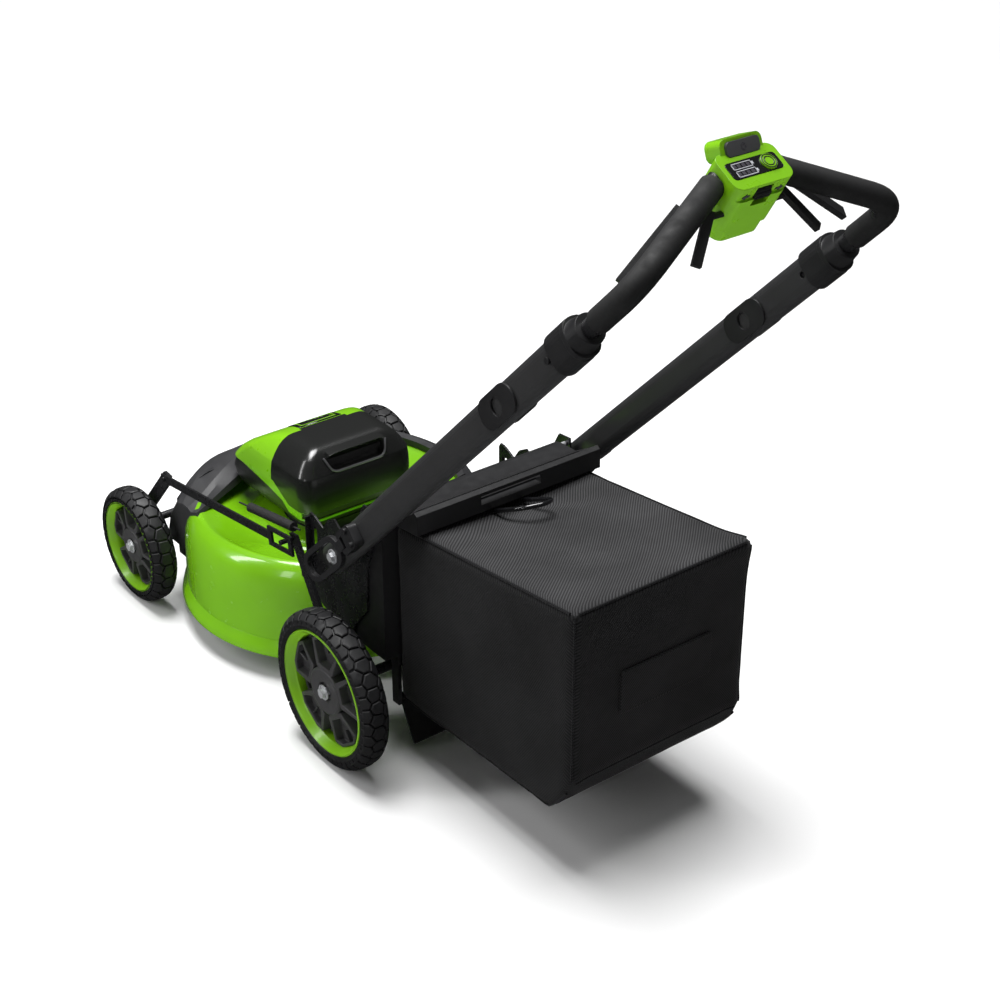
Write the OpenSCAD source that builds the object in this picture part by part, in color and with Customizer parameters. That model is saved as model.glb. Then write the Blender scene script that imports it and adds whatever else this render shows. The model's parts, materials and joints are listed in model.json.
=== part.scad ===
// Battery lawn mower with a rear grass bag, four wheels and a folding handle.
// Frame: Z up, ground at Z = 0, +Y towards the operator, +X on the
// operator's left, origin on the ground under the middle of the machine.

/* [Running gear] */
// Distance between the front and rear axles
wheelbase = 596; // [580:1:610]
// Place of the rear axle behind the frame's origin
rear_axle_y = 51; // [46:1:56]
// Diameter of the rear tyres
rear_wheel_d = 254; // [250:1:258]
// Diameter of the front tyres
front_wheel_d = 203; // [199:1:206]
// Width over the tyres
track_w = 550; // [546:1:560]
// Width of a tyre
tyre_w = 45; // [40:1:46]

/* [Deck] */
// Diameter of the deck at its lower hem
deck_d = 514; // [508:1:518]
// Distance from the rear axle forward to the blade's shaft
deck_setback = 379; // [375:1:383]
// Height of the hem above the ground
hem_z = 42; // [38:1:46]
// Height of the deck's top rim
deck_top_z = 206; // [200:1:210]
// Length of the blade
blade_len = 476; // [470:1:494]

/* [Housing] */
// Width of the motor and battery housing
housing_w = 216; // [206:1:224]
// Height of the battery cover's top
cover_top_z = 338; // [334:1:344]

/* [Handle] */
// Distance between the centre lines of the two rails
rail_spacing = 416; // [410:1:422]
// Slope of the rails above the ground
rail_angle = 45.4; // [44:0.1:47]
// Length of a rail from its foot to the collar's mouth
rail_len = 799; // [780:1:810]
// Diameter of the sliding handle tube
tube_d = 25; // [24:0.5:26]
// Outer diameter of the foam grip
foam_d = 32; // [30:0.5:34]

/* [Bag] */
// Width of the grass bag
bag_w = 316; // [300:1:324]
// Length of the grass bag
bag_len = 402; // [380:1:410]

/* [Hidden] */
$fn = 48;
gap = 0.3;
steel_t = 3;
front_axle_y = rear_axle_y - wheelbase;
rear_r = rear_wheel_d / 2;
front_r = front_wheel_d / 2;
tyre_x = track_w / 2 - tyre_w / 2;
axle_d = 12.7;
axle_clearance = 0.05;
hub_len = 52;
hub_x = track_w / 2 - 22;
hub_in = hub_x - hub_len / 2;

deck_y = rear_axle_y - deck_setback;
deck_r = deck_d / 2;
blade_z = hem_z + 20;
motor_seat_z = deck_top_z - 34;
motor_r = 78;
motor_h = 52;
shaft_d = 19;

housing_back_y = deck_y + 90;
cover_front_y = housing_back_y - 104;
housing_front_y = deck_y - 152;
base_top_z = 236;

rail_x = rail_spacing / 2;
rail_w = 48;
rail_t = 30;
rail_wall = 2.2;
foot_y = rear_axle_y - 45;
foot_z = 315;
rail_dir = [0, cos(rail_angle), sin(rail_angle)];
collar_len = 71;
pivot_s = 25;
clamp_s = 104;
grip_gap = 18;
corner_s = rail_len + 107;
apex_drop_y = 72;
apex_rise = 82;
corner_bend = 52;
tube_bottom_s = 330;
snap_s = 720;
bezel_s = 584;

plate_x = rail_x - 26;
front_pivot = [front_axle_y - 70, 95];
rear_pivot = [rear_axle_y - 74, 150];
arm_x = tyre_x - tyre_w / 2 - 8;
front_link_end = [-479 + rear_axle_y - 47, 249];
rear_link_end = [-112 + rear_axle_y - 47, 298];
link_x = arm_x + 6;

bag_front_y = rear_axle_y + 39;
bag_back_y = bag_front_y + bag_len;
bag_wall = 3;

door_hinge = [rear_axle_y + 12, 405];
flap_hinge = [rear_axle_y + 28, 84];

head_top = 20;
head_w = 92;

GREEN = [0.45, 0.74, 0.1];
DARK = [0.2, 0.2, 0.21];
BLACK = [0.09, 0.09, 0.1];
STEEL = [0.6, 0.61, 0.63];

// ---- helpers ----

function unit(v) = v / norm(v);
function turn(a, b, c) = acos(unit(b - a) * unit(c - b));
function round_rect(w, h, r, n = 6) = [
  for (q = [0:3], i = [0:n])
    let (a = q * 90 + i * 90 / n, sx = (q == 0 || q == 3) ? 1 : -1, sy = q < 2 ? 1 : -1)
      [sx * (w / 2 - r) + r * cos(a), sy * (h / 2 - r) + r * sin(a)]];
function at_rail(s, across = 0) = [0, foot_y, foot_z] + s * rail_dir
  + across * [0, -sin(rail_angle), cos(rail_angle)];
function rail_point(side, s, across = 0) = [side * rail_x, 0, 0] + at_rail(s, across);

// A straight round bar from a to b.
module bar(a, b, d) {
  v = b - a;
  l = norm(v);
  translate(a) rotate([0, acos(v.z / l), atan2(v.y, v.x)]) cylinder(d = d, h = l);
}

// Points along a path whose inner corners are rounded to radius r.
function rounded_path(p, r, n = 4) = [
  for (i = [0:len(p) - 1]) if (i == 0 || i == len(p) - 1) p[i] else
    let (u = unit(p[i] - p[i - 1]), v = unit(p[i + 1] - p[i]), w = turn(p[i - 1], p[i], p[i + 1]),
         inward = unit(v - u), centre = p[i] + inward * r / cos(w / 2))
      for (k = [0:n]) let (f = w * (k / n - 0.5))
        centre - inward * r * cos(f) + unit(u + v) * r * sin(f)];

// A round bar along the points p with bend radius r and a ball in each joint.
module bent_bar(p, r, d) {
  q = rounded_path(p, r);
  for (i = [0:len(q) - 2]) bar(q[i], q[i + 1], d);
  for (i = [1:len(q) - 2]) translate(q[i]) sphere(d = d + 0.4);
}

// A plate of thickness t whose outline is drawn in Y and Z, centred on x.
module side_plate(x, t, outline) {
  translate([x - t / 2, 0, 0]) rotate([90, 0, 90]) linear_extrude(t) polygon(outline);
}

// A hole through a side plate.
module side_hole(x, t, y, z, d) {
  translate([x - t / 2, y, z]) rotate([0, 90, 0]) cylinder(d = d, h = t);
}

// Children placed on a rail: local Z runs up the rail from s, local X is across the machine.
module on_rail(side, s) {
  translate(rail_point(side, s)) rotate([rail_angle - 90, 0, 0]) children();
}

// A hexagon-headed bolt along X with its head on the outer side.
module cross_bolt(side, x, y, z, d, l, head) {
  translate([x, y, z]) rotate([0, side * 90, 0]) {
    translate([0, 0, -l]) cylinder(d = d, h = l);
    cylinder(d = head * 1.5, h = 1.6);
    translate([0, 0, 1.6]) cylinder(d = head, h = 5, $fn = 6);
  }
}

// ---- deck and shroud ----

function deck_outline(t) = [
  [deck_r - t, hem_z], [deck_r, hem_z], [deck_r, hem_z + 6], [deck_r - 7, hem_z + 16],
  [deck_r - 10, hem_z + 22], [deck_r - 12, 150], [deck_r - 16, deck_top_z - 24],
  [deck_r - 27, deck_top_z - 4], [deck_r - 38, deck_top_z], [178, deck_top_z],
  [160, deck_top_z - 6], [142, motor_seat_z + 8], [126, motor_seat_z], [30, motor_seat_z],
  [30, motor_seat_z - t], [127, motor_seat_z - t], [144, motor_seat_z + 8 - t], [161, deck_top_z - 7 - t],
  [178, deck_top_z - t], [deck_r - 39, deck_top_z - t], [deck_r - 29, deck_top_z - 5 - t],
  [deck_r - 18 - t / 2, deck_top_z - 25 - t], [deck_r - 12 - t, 150], [deck_r - 10 - t, hem_z + 22],
  [deck_r - 7 - t, hem_z + 14], [deck_r - t, hem_z + 6]];

module deck() {
  color(GREEN) difference() {
    translate([0, deck_y, 0]) rotate_extrude($fn = 96) polygon(deck_outline(steel_t));
    // outlet to the chute
    translate([-chute_w / 2, deck_y + 150, hem_z + 40]) cube([chute_w, 140, 101]);
  }
}
chute_w = 190;

// Outline of everything inside the deck's outer skin, grown by g.
function deck_inside(g) = [
  [0, 0], [deck_r + g, 0], [deck_r + g, hem_z + 6 + g], [deck_r - 7 + g, hem_z + 16 + g],
  [deck_r - 10 + g, hem_z + 22 + g], [deck_r - 12 + g, 150], [deck_r - 16 + g, deck_top_z - 24],
  [deck_r - 27 + g, deck_top_z - 4 + g], [deck_r - 38, deck_top_z + g], [0, deck_top_z + g]];

module front_shroud() {
  r_in = deck_r + 3;
  r_out = deck_r + 18;
  color(DARK) difference() {
    union() {
      intersection() {
        translate([0, deck_y, 0]) rotate_extrude($fn = 96) polygon([
          [r_in, 66], [r_out, 66], [r_out + 1, 120], [r_out - 6, 176], [r_out - 24, 204], [deck_r - 40, 222],
          [deck_r - 62, 222], [deck_r - 62, deck_top_z], [deck_r - 30, deck_top_z],
          [r_in - 2, deck_top_z - 16], [r_in, 150]]);
        union() {
          translate([0, deck_y - 320, 130]) cube([370, 300, 300], center = true);
          translate([-140, deck_y - 240, 130]) cube([130, 140, 300], center = true);
        }
      }
      // wing along the deck's right rim
      intersection() {
        translate([0, deck_y, 0]) rotate_extrude($fn = 96) polygon([
          [deck_r - 42, deck_top_z - 4], [deck_r - 16, deck_top_z - 26], [deck_r - 3, deck_top_z - 26],
          [deck_r - 12, deck_top_z + 4], [deck_r - 30, deck_top_z + 14], [deck_r - 42, deck_top_z + 12]]);
        translate([-deck_r - 10, deck_y - 200, 150]) cube([deck_r - 80, 300, 100]);
      }
    }
    translate([0, deck_y, 0]) rotate_extrude($fn = 96) polygon(deck_inside(gap));
  }
}

// ---- housing, battery and motor ----

function cowl_side() = [
  [housing_front_y, deck_top_z + 2], [housing_front_y - 2, 232], [housing_front_y + 8, 254],
  [housing_front_y + 34, 280], [housing_front_y + 76, 303], [cover_front_y - 24, 324],
  [cover_front_y - 2.5, cover_top_z - 8], [cover_front_y - 2.5, base_top_z - 1],
  [housing_back_y + 2, base_top_z - 1], [housing_back_y + 6, 224], [housing_back_y + 2, deck_top_z + 2]];
function cowl_hollow(t) = [
  [housing_front_y + t, deck_top_z], [housing_front_y + t, 232], [housing_front_y + 8 + t, 250],
  [housing_front_y + 35 + t, 274], [housing_front_y + 78, 296], [cover_front_y - 22, 316],
  [cover_front_y - 8, 320], [cover_front_y - 8, base_top_z - 8], [housing_back_y - 4, base_top_z - 8],
  [housing_back_y - 4, deck_top_z]];

module housing_plan(w, front, back, r, z0, z1) {
  translate([0, (front + back) / 2, z0]) linear_extrude(z1 - z0) polygon(round_rect(w, back - front, r));
}

module motor_housing() {
  t = 3;
  color(GREEN) difference() {
    intersection() {
      side_plate(0, housing_w, cowl_side());
      housing_plan(housing_w, housing_front_y - 3, housing_back_y + 7, 44, deck_top_z, 400);
    }
    // hollow over the motor
    intersection() {
      side_plate(0, housing_w - 20, cowl_hollow(t));
      housing_plan(housing_w - 20, housing_front_y + t, housing_back_y - t, 38, deck_top_z, 400);
    }
    // recess for the display
    translate([0, display_y, display_z]) rotate([display_tilt, 0, 0]) cube([84, 46, 4], center = true);
    // side recesses for the panels
    for (side = [-1, 1]) side_plate(side * housing_w / 2, 7, panel_outline(0.5));
  }
}
display_y = housing_front_y + 92;
display_z = 310;
display_tilt = 23;

function panel_outline(grow) = [
  [housing_front_y + 22 - grow, 216 - grow], [housing_front_y + 14 - grow, 250 + grow],
  [housing_front_y + 30, 258 + grow], [cover_front_y - 26, 264 + grow], [cover_front_y - 8 + grow, 248],
  [cover_front_y - 8 + grow, 216 - grow]];

module housing_panels() {
  color(BLACK) for (side = [-1, 1]) side_plate(side * (housing_w / 2 - 1.4), 4, panel_outline(0));
}

module display_panel() {
  color(BLACK) translate([0, display_y, display_z]) rotate([display_tilt, 0, 0])
    cube([83, 45, 3], center = true);
}

function cover_side(t) = let (front = t > 0 ? cover_front_y - 5 : cover_front_y, low = t > 0 ? base_top_z - 1 : base_top_z) [
  [front, low], [front, cover_top_z - 4 - t], [cover_front_y + 20, cover_top_z - t],
  [cover_front_y + 62, cover_top_z + 2 - t], [housing_back_y - 22, cover_top_z - 8 - t],
  [housing_back_y - 6 - t, cover_top_z - 26 - t], [housing_back_y + 4 - t, 278], [housing_back_y + 6 - t, low]];
cover_hinge = [cover_front_y + 5, cover_top_z - 9];

module battery_cover() {
  t = 3;
  color([0.16, 0.16, 0.17, 0.8]) {
    difference() {
      intersection() {
        side_plate(0, housing_w, cover_side(0));
        housing_plan(housing_w, cover_front_y - 40, housing_back_y + 7, 36, base_top_z, 400);
      }
      intersection() {
        side_plate(0, housing_w - 2 * t, cover_side(t));
        housing_plan(housing_w - 2 * t, cover_front_y - 40, housing_back_y + 7 - t, 33, base_top_z - 1, 400);
      }
    }
    side_hole(0, 120, cover_hinge.x, cover_hinge.y, 9);
  }
}
battery_y = cover_front_y + 52;

module battery() {
  color(DARK) {
    translate([0, battery_y, base_top_z + 3]) linear_extrude(64) polygon(round_rect(124, 76, 12));
    translate([0, battery_y + 2, base_top_z + 66]) linear_extrude(18) polygon(round_rect(96, 60, 12));
    for (side = [-1, 1])
      translate([side * 63, battery_y, base_top_z + 30]) cube([6, 30, 40], center = true);
  }
}

module motor() {
  color(STEEL) translate([0, deck_y, 0]) difference() {
    union() {
      translate([0, 0, motor_seat_z]) cylinder(r = motor_r, h = motor_h);
      translate([0, 0, motor_seat_z - 26]) cylinder(r = 26, h = 27);
    }
    translate([0, 0, motor_seat_z - 27]) cylinder(d = shaft_d + 2, h = motor_h + 20);
    for (z = [motor_seat_z - 26.01, motor_seat_z + 30]) translate([0, 0, z]) cylinder(d = 40, h = 12.01);
  }
}

module spindle_bearings() {
  color("silver") for (z = [motor_seat_z - 26, motor_seat_z + 30.02]) translate([0, deck_y, z]) difference() {
    cylinder(d = 39.98, h = 11.96);
    translate([0, 0, -1]) cylinder(d = shaft_d + 0.06, h = 14);
  }
}

module blade_spindle() {
  color(STEEL) translate([0, deck_y, blade_z + 12]) difference() {
    cylinder(d = shaft_d, h = motor_seat_z + 43 - blade_z - 12);
    translate([0, 0, -1]) cylinder(d = 8, h = 30);
  }
}

module blade_adapter() {
  color(BLACK) translate([0, deck_y, blade_z + 5]) {
    difference() {
      union() {
        cylinder(d = 60, h = 7);
        cylinder(d = 34, h = 40);
      }
      translate([0, 0, 6.9]) cylinder(d = shaft_d, h = 50);
      translate([0, 0, -1]) cylinder(d = 10, h = 20);
    }
  }
}

module blade() {
  color(STEEL) translate([0, deck_y, blade_z]) difference() {
    union() {
      cube([blade_len - 70, 56, 4.5], center = true);
      for (k = [0, 1]) rotate(180 * k) {
        translate([blade_len / 2 - 36, 0, 0]) rotate([90, 0, 0]) linear_extrude(56, center = true)
          polygon([[-1, -2.25], [36, -2.25], [36, 2.25], [-1, 2.25]]);
        translate([blade_len / 2 - 90, -28, 0]) rotate([-28, 0, 0]) translate([0, -16, -2.25]) cube([90, 18, 4.5]);
      }
    }
    cylinder(d = 10, h = 20, center = true);
  }
}

module blade_bolt() {
  color(STEEL) translate([0, deck_y, blade_z]) {
    translate([0, 0, -2.25]) cylinder(d = 8, h = 42);
    translate([0, 0, -5.25]) cylinder(d = 26, h = 3);
    translate([0, 0, -11.25]) cylinder(d = 19, h = 6, $fn = 6);
  }
}

// ---- rear chassis, door and bag ----

module rear_chassis() {
  w = 2 * plate_x - steel_t - 1;
  front = deck_y + 190;
  back = bag_front_y - 2;
  color(BLACK) {
    difference() {
      side_plate(0, w, [
        [front, deck_top_z + 1], [front, 222], [front + 84, 254], [front + 124, 296], [back - 34, 362],
        [back, 394], [back, 166], [rear_axle_y - 92, 166]]);
      // clear of the deck
      translate([0, deck_y, 0]) cylinder(r = deck_r + 1, h = deck_top_z + 0.5);
      // chute from the deck's outlet to the bag
      side_plate(0, chute_w, [
        [front - 60, deck_top_z - 1], [front + 50, deck_top_z + 10], [front + 130, 282], [back - 30, 348],
        [back + 1, 352], [back + 1, 172], [rear_axle_y - 110, 172]]);
      // hollow sides
      for (side = [-1, 1]) side_plate(side * (chute_w / 2 + 41), 66, [
        [front + 40, 208], [front + 92, 244], [front + 130, 284], [back - 40, 346], [back - 8, 376],
        [back - 8, 156], [rear_axle_y - 86, 156]]);
    }
    // ears and rod that carry the flap
    for (side = [-1, 1]) side_plate(side * 155, 6, [
      [flap_hinge.x - 9, 170], [flap_hinge.x + 9, 170], [flap_hinge.x + 8, flap_hinge.y - 8],
      [flap_hinge.x - 8, flap_hinge.y - 8]]);
    side_hole(0, 316, flap_hinge.x, flap_hinge.y, 6);
  }
}

module handle_brackets() {
  y0 = rear_axle_y - 47;
  outline = [
    [y0 - 106, 202], [y0 - 106, 332], [y0 - 102, 339], [y0 - 90, 337], [y0 - 68, 326], [y0 - 54, 346],
    [y0 - 36, 356], [y0 - 14, 340], [y0 + 20, 372], [y0 + 44, 416], [y0 + 70, 418], [y0 + 74, 380],
    [y0 + 50, 312], [y0 + 44, 236], [y0 + 12, 196], [y0 - 60, 186], [y0 - 98, 196]];
  pivot = at_rail(pivot_s);
  color(BLACK) for (side = [-1, 1]) difference() {
    union() {
      side_plate(side * plate_x, steel_t, outline);
      // front flange turned outwards
      translate([side * (plate_x + 4), y0 - 104.5, 272]) cube([10, steel_t, 120], center = true);
      // stub for the rear arms
      side_plate(side * plate_x, steel_t, [
        [y0 - 60, 190], [y0 + 12, 200], [rear_pivot.x + 18, rear_pivot.y - 14], [rear_pivot.x - 18, rear_pivot.y - 14]]);
    }
    side_hole(side * plate_x, 9, pivot.y, pivot.z, 10.1);
    side_hole(side * plate_x, 9, rear_pivot.x, rear_pivot.y, 14.1);
    side_hole(side * plate_x, 9, door_hinge.x, door_hinge.y, 8);
    translate([side * plate_x, y0 - 91, 296]) cube([9, 12, 44], center = true);
  }
}

function door_outline() = [
  [door_hinge.x - 7, door_hinge.y - 2], [door_hinge.x - 5, door_hinge.y + 6], [door_hinge.x + 4, door_hinge.y + 8],
  [bag_front_y + 14, 414], [bag_front_y + 56, 438], [bag_front_y + 63, 444], [bag_front_y + 70, 440],
  [bag_front_y + 71, 409.5], [bag_front_y + 14, 403.5], [door_hinge.x + 4, door_hinge.y - 5],
  [door_hinge.x - 4, door_hinge.y - 6]];

module rear_door() {
  w = 336;
  color(BLACK) difference() {
    side_plate(0, w, door_outline());
    side_hole(0, w + 2, door_hinge.x, door_hinge.y, 8.1);
    // hollow behind the rear lip, open at the top
    translate([0, bag_front_y + 42, 436]) rotate([30, 0, 0]) cube([w - 24, 40, 36], center = true);
    // hand hole
    translate([0, bag_front_y + 72, 428]) cube([110, 30, 14], center = true);
  }
}

module door_rod() {
  color(STEEL) {
    side_hole(0, 2 * plate_x + 8, door_hinge.x, door_hinge.y, 8);
    for (side = [-1, 1]) side_hole(side * (plate_x + 3.5), 3, door_hinge.x, door_hinge.y, 13);
  }
}

module door_spring() {
  length = 9;
  x = plate_x - 8;
  color(STEEL) difference() {
    side_hole(x, length, door_hinge.x, door_hinge.y, 14);
    side_hole(x, length + 2, door_hinge.x, door_hinge.y, 8.6);
  }
}

module trailing_flap() {
  tip = [flap_hinge.x + 34, 17];
  color(BLACK) difference() {
    union() {
      side_plate(0, 300, [
        [flap_hinge.x - 2, flap_hinge.y], [flap_hinge.x + 2, flap_hinge.y], [tip.x + 2, tip.y], [tip.x - 2, tip.y]]);
      side_hole(0, 300, flap_hinge.x, flap_hinge.y, 12);
    }
    side_hole(0, 302, flap_hinge.x, flap_hinge.y, 6.1);
  }
}

function bag_side(t) = [
  [bag_front_y + t, 92 + t], [bag_back_y - 52, 103 + t], [bag_back_y - 18, 116 + t], [bag_back_y - t, 168],
  [bag_back_y - 3 - t, 441 - t], [bag_front_y + 30, 402 - t], [bag_front_y + t, 398 - t]];

module grass_bag() {
  color(BLACK) difference() {
    side_plate(0, bag_w, bag_side(0));
    side_plate(0, bag_w - 2 * bag_wall, bag_side(bag_wall));
    // mouth
    translate([-112, bag_front_y - 1, 168]) cube([224, bag_wall + 2, 200]);
  }
}

module bag_frame() {
  w = 247;
  low = 146;
  high = 390;
  wire = 7;
  color(STEEL) translate([0, bag_front_y + 12, (low + high) / 2]) rotate([90, 0, 0]) linear_extrude(wire) difference() {
    polygon(round_rect(w, high - low, 20));
    polygon(round_rect(w - 2 * wire, high - low - 2 * wire, 14));
  }
}

module bag_handle() {
  top_z = 411;
  y = bag_front_y + 110;
  color(BLACK) bent_bar([[10, y, top_z - 2], [22, y + 44, top_z + 26], [-34, y + 44, top_z + 26], [-22, y, top_z - 2]], 14, 7);
}

// ---- axles, height adjustment and wheels ----

// The stub between a swing arm's face and the wheel's hub.
module arm_spacer(side, x, y, z) {
  from = x + 1;
  to = hub_in - 0.4;
  side_hole(side * (from + to) / 2, to - from, y, z, 22);
}

module front_axle() {
  color(BLACK) {
    side_hole(0, 2 * arm_x + 6, front_pivot.x, front_pivot.y, 14);
    for (side = [-1, 1]) {
      side_plate(side * arm_x, 6, [
        [front_pivot.x - 12, front_pivot.y - 12], [front_pivot.x - 12, front_pivot.y + 12],
        [front_axle_y + 12, front_r + 14], [front_axle_y + 16, front_r - 12]]);
      arm_spacer(side, arm_x, front_axle_y, front_r);
    }
    // crank that carries the link
    side_plate(arm_x, 6, [
      [front_pivot.x - 10, front_pivot.y + 6], [front_link_end.x - 10, front_link_end.y + 8],
      [front_link_end.x + 10, front_link_end.y + 6], [front_link_end.x + 2, front_link_end.y - 12],
      [front_pivot.x + 22, front_pivot.y + 8]]);
    side_hole(arm_x + 5, 12, front_link_end.x, front_link_end.y, 8);
  }
}

module rear_axle_arms() {
  inner = arm_x - 14;
  color(BLACK) {
    side_hole(0, 2 * inner + 10, rear_pivot.x, rear_pivot.y, 14);
    side_hole(0, 2 * inner + 10, rear_axle_y, rear_r, 16);
    for (side = [-1, 1]) {
      side_plate(side * inner, 6, [
        [rear_pivot.x - 14, rear_pivot.y - 8], [rear_pivot.x - 10, rear_pivot.y + 14],
        [rear_axle_y + 8, rear_r + 16], [rear_axle_y + 18, rear_r], [rear_axle_y + 4, rear_r - 16]]);
      arm_spacer(side, inner, rear_axle_y, rear_r);
    }
    // crank that meets the link's slot
    side_plate(inner, 6, [
      [rear_pivot.x - 10, rear_pivot.y + 6], [rear_link_end.x - 9, rear_link_end.y + 6],
      [rear_link_end.x + 9, rear_link_end.y + 8], [rear_pivot.x + 12, rear_pivot.y + 8]]);
    side_hole(inner + 12, 26, rear_link_end.x, rear_link_end.y, 8);
  }
}

module drive_gearbox() {
  color(BLACK) translate([0, rear_axle_y, rear_r]) {
    rotate([0, 90, 0]) difference() {
      cylinder(d = 46, h = 110, center = true);
      cylinder(d = 16, h = 120, center = true);
    }
    translate([0, -30, -8]) cube([70, 34, 30], center = true);
  }
}

module axle_bolts(y, r) {
  color("silver") for (side = [-1, 1])
    cross_bolt(side, side * (hub_x + hub_len / 2 - 11.6), y, r, axle_d, hub_len + 22, 16);
}
module front_axle_bolts() { axle_bolts(front_axle_y, front_r); }
module rear_axle_bolts() { axle_bolts(rear_axle_y, rear_r); }

module height_link() {
  v = [rear_link_end.x - front_link_end.x, rear_link_end.y - front_link_end.y];
  color(BLACK) translate([link_x, front_link_end.x, front_link_end.y]) rotate([atan2(v.y, v.x), 0, 0]) difference() {
    union() {
      translate([-2, -10, -7]) cube([4, norm(v) - 20, 14]);
      translate([-2, norm(v) - 40, -16]) cube([4, 68, 32]);
    }
    rotate([0, 90, 0]) cylinder(d = 8.1, h = 12, center = true);
    // slot of the open pivot
    translate([-6, norm(v) - 30, -9.5]) cube([12, 48, 19]);
  }
}

module height_spring() {
  a = [link_x - 16, -226, 300];
  b = [link_x - 16, -100, 322];
  ends = unit(b - a);
  color(BLACK) {
    bar(a, b, 15);
    bar(a - ends * 34, a, 3);
    bar(b, b + ends * 18, 3);
  }
}

function tyre_section(r) = [
  [r * 0.757, -tyre_w / 2 + 3], [r * 0.80, -tyre_w / 2], [r * 0.93, -tyre_w / 2 + 1], [r * 0.985, -tyre_w / 2 + 7],
  [r, 0], [r * 0.985, tyre_w / 2 - 7], [r * 0.93, tyre_w / 2 - 1], [r * 0.80, tyre_w / 2], [r * 0.757, tyre_w / 2 - 3]];

// A wheel's part is drawn about its own axle and then put in its place.
module at_wheel(side, y, r) {
  translate([side * tyre_x, y, r]) rotate([0, side * 90, 0]) children();
}

module tyre(side, y, r) {
  color(BLACK) at_wheel(side, y, r) rotate_extrude($fn = 96) polygon(tyre_section(r));
}

module rim(side, y, r) {
  edge = r * 0.756;
  color(GREEN) at_wheel(side, y, r) rotate_extrude($fn = 96) polygon([
    [edge, -tyre_w / 2 + 4], [edge, tyre_w / 2 - 1], [edge - 7, tyre_w / 2 - 1], [edge - 9, tyre_w / 2 - 16],
    [edge - 12, -4], [26, -4], [26, -9], [edge - 14, -9], [edge - 6, -tyre_w / 2 + 4]]);
}

module spokes(side, y, r) {
  reach = r * 0.756 - 14;
  bore = axle_d + 2 * axle_clearance;
  hub_out = hub_x + hub_len / 2 - 12 - tyre_x;
  color(DARK) at_wheel(side, y, r) {
    difference() {
      union() {
        translate([0, 0, hub_out - hub_len + 12]) cylinder(d = 46, h = hub_len - 12);
        for (k = [0:4]) rotate(72 * k + 36) translate([15, -10, -3.7]) cube([reach - 15, 20, 13]);
      }
      translate([0, 0, -60]) cylinder(d = bore, h = 120);
    }
  }
}

module front_left_tyre() { tyre(1, front_axle_y, front_r); }
module front_left_rim() { rim(1, front_axle_y, front_r); }
module front_left_spokes() { spokes(1, front_axle_y, front_r); }
module front_right_tyre() { tyre(-1, front_axle_y, front_r); }
module front_right_rim() { rim(-1, front_axle_y, front_r); }
module front_right_spokes() { spokes(-1, front_axle_y, front_r); }
module rear_left_tyre() { tyre(1, rear_axle_y, rear_r); }
module rear_left_rim() { rim(1, rear_axle_y, rear_r); }
module rear_left_spokes() { spokes(1, rear_axle_y, rear_r); }
module rear_right_tyre() { tyre(-1, rear_axle_y, rear_r); }
module rear_right_rim() { rim(-1, rear_axle_y, rear_r); }
module rear_right_spokes() { spokes(-1, rear_axle_y, rear_r); }

// ---- handle ----

module rails() {
  color(DARK) for (side = [-1, 1]) on_rail(side, 0) difference() {
    linear_extrude(rail_len - 40) polygon(round_rect(rail_t, rail_w, rail_t / 2 - 0.5));
    translate([0, 0, 160]) linear_extrude(rail_len)
      polygon(round_rect(rail_t - 2 * rail_wall, rail_w - 2 * rail_wall, rail_t / 2 - 0.5 - rail_wall));
    translate([0, 0, pivot_s]) rotate([0, 90, 0]) cylinder(d = 10.1, h = 60, center = true);
    translate([0, 0, snap_s]) rotate([0, 90, 0]) cylinder(d = 9.1, h = 60, center = true);
  }
}

module rail_bezels() {
  color(BLACK) for (side = [-1, 1], face = [-1, 1])
    on_rail(side, bezel_s) translate([face * (rail_t / 2 + 1.6), 0, 0]) rotate([0, 90, 0]) difference() {
      linear_extrude(3, center = true) polygon(round_rect(86, 42, 20));
      cylinder(d = 24, h = 20, center = true);
    }
}

module rail_collars() {
  bore = tube_d + 0.1;
  color(BLACK) for (side = [-1, 1]) on_rail(side, rail_len - collar_len) difference() {
    union() {
      linear_extrude(42) polygon(round_rect(rail_t + 8, rail_w + 8, 18));
      translate([0, 0, 42]) linear_extrude(8) polygon(round_rect(rail_t + 14, rail_w + 6, 20));
      translate([0, 0, 50]) cylinder(d1 = 46, d2 = 40, h = collar_len - 50);
    }
    translate([0, 0, -1]) linear_extrude(32) polygon(round_rect(rail_t, rail_w, rail_t / 2 - 0.5));
    cylinder(d = bore, h = 200, center = true);
  }
}

module lever_mounts() {
  color(DARK) for (side = [-1, 1]) on_rail(side, clamp_s) translate([side * (rail_t / 2), 0, 0]) {
    difference() {
      translate([0, 0, 5]) rotate([0, side * 90, 0]) linear_extrude(15) polygon(round_rect(44, 36, 8));
      translate([side * 9.5, 0, -13]) rotate([90, 0, 0]) cylinder(d = 6.1, h = 60, center = true);
      translate([side * 9.5, 0, -19]) cube([13, 18, 34], center = true);
    }
    for (dy = [-11, 11]) translate([side * 15, dy, 16]) rotate([0, side * 90, 0]) cylinder(d = 9, h = 4);
  }
}

module release_lever(side) {
  color(BLACK) on_rail(side, clamp_s) translate([side * (rail_t / 2), 0, 0]) {
    translate([side * 9.5, 0, -13]) rotate([90, 0, 0]) cylinder(d = 6, h = 35, center = true);
    translate([side * 9.5, 0, -21]) cube([10, 16, 22], center = true);
    translate([side * 17, 0, -73]) rotate([0, side * -8, 0]) rotate([0, 90, 0]) difference() {
      linear_extrude(8, center = true) polygon(round_rect(96, 50, 22));
      linear_extrude(10, center = true) polygon(round_rect(79, 33, 14));
    }
  }
}
module left_release_lever() { release_lever(1); }
module right_release_lever() { release_lever(-1); }

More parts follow.
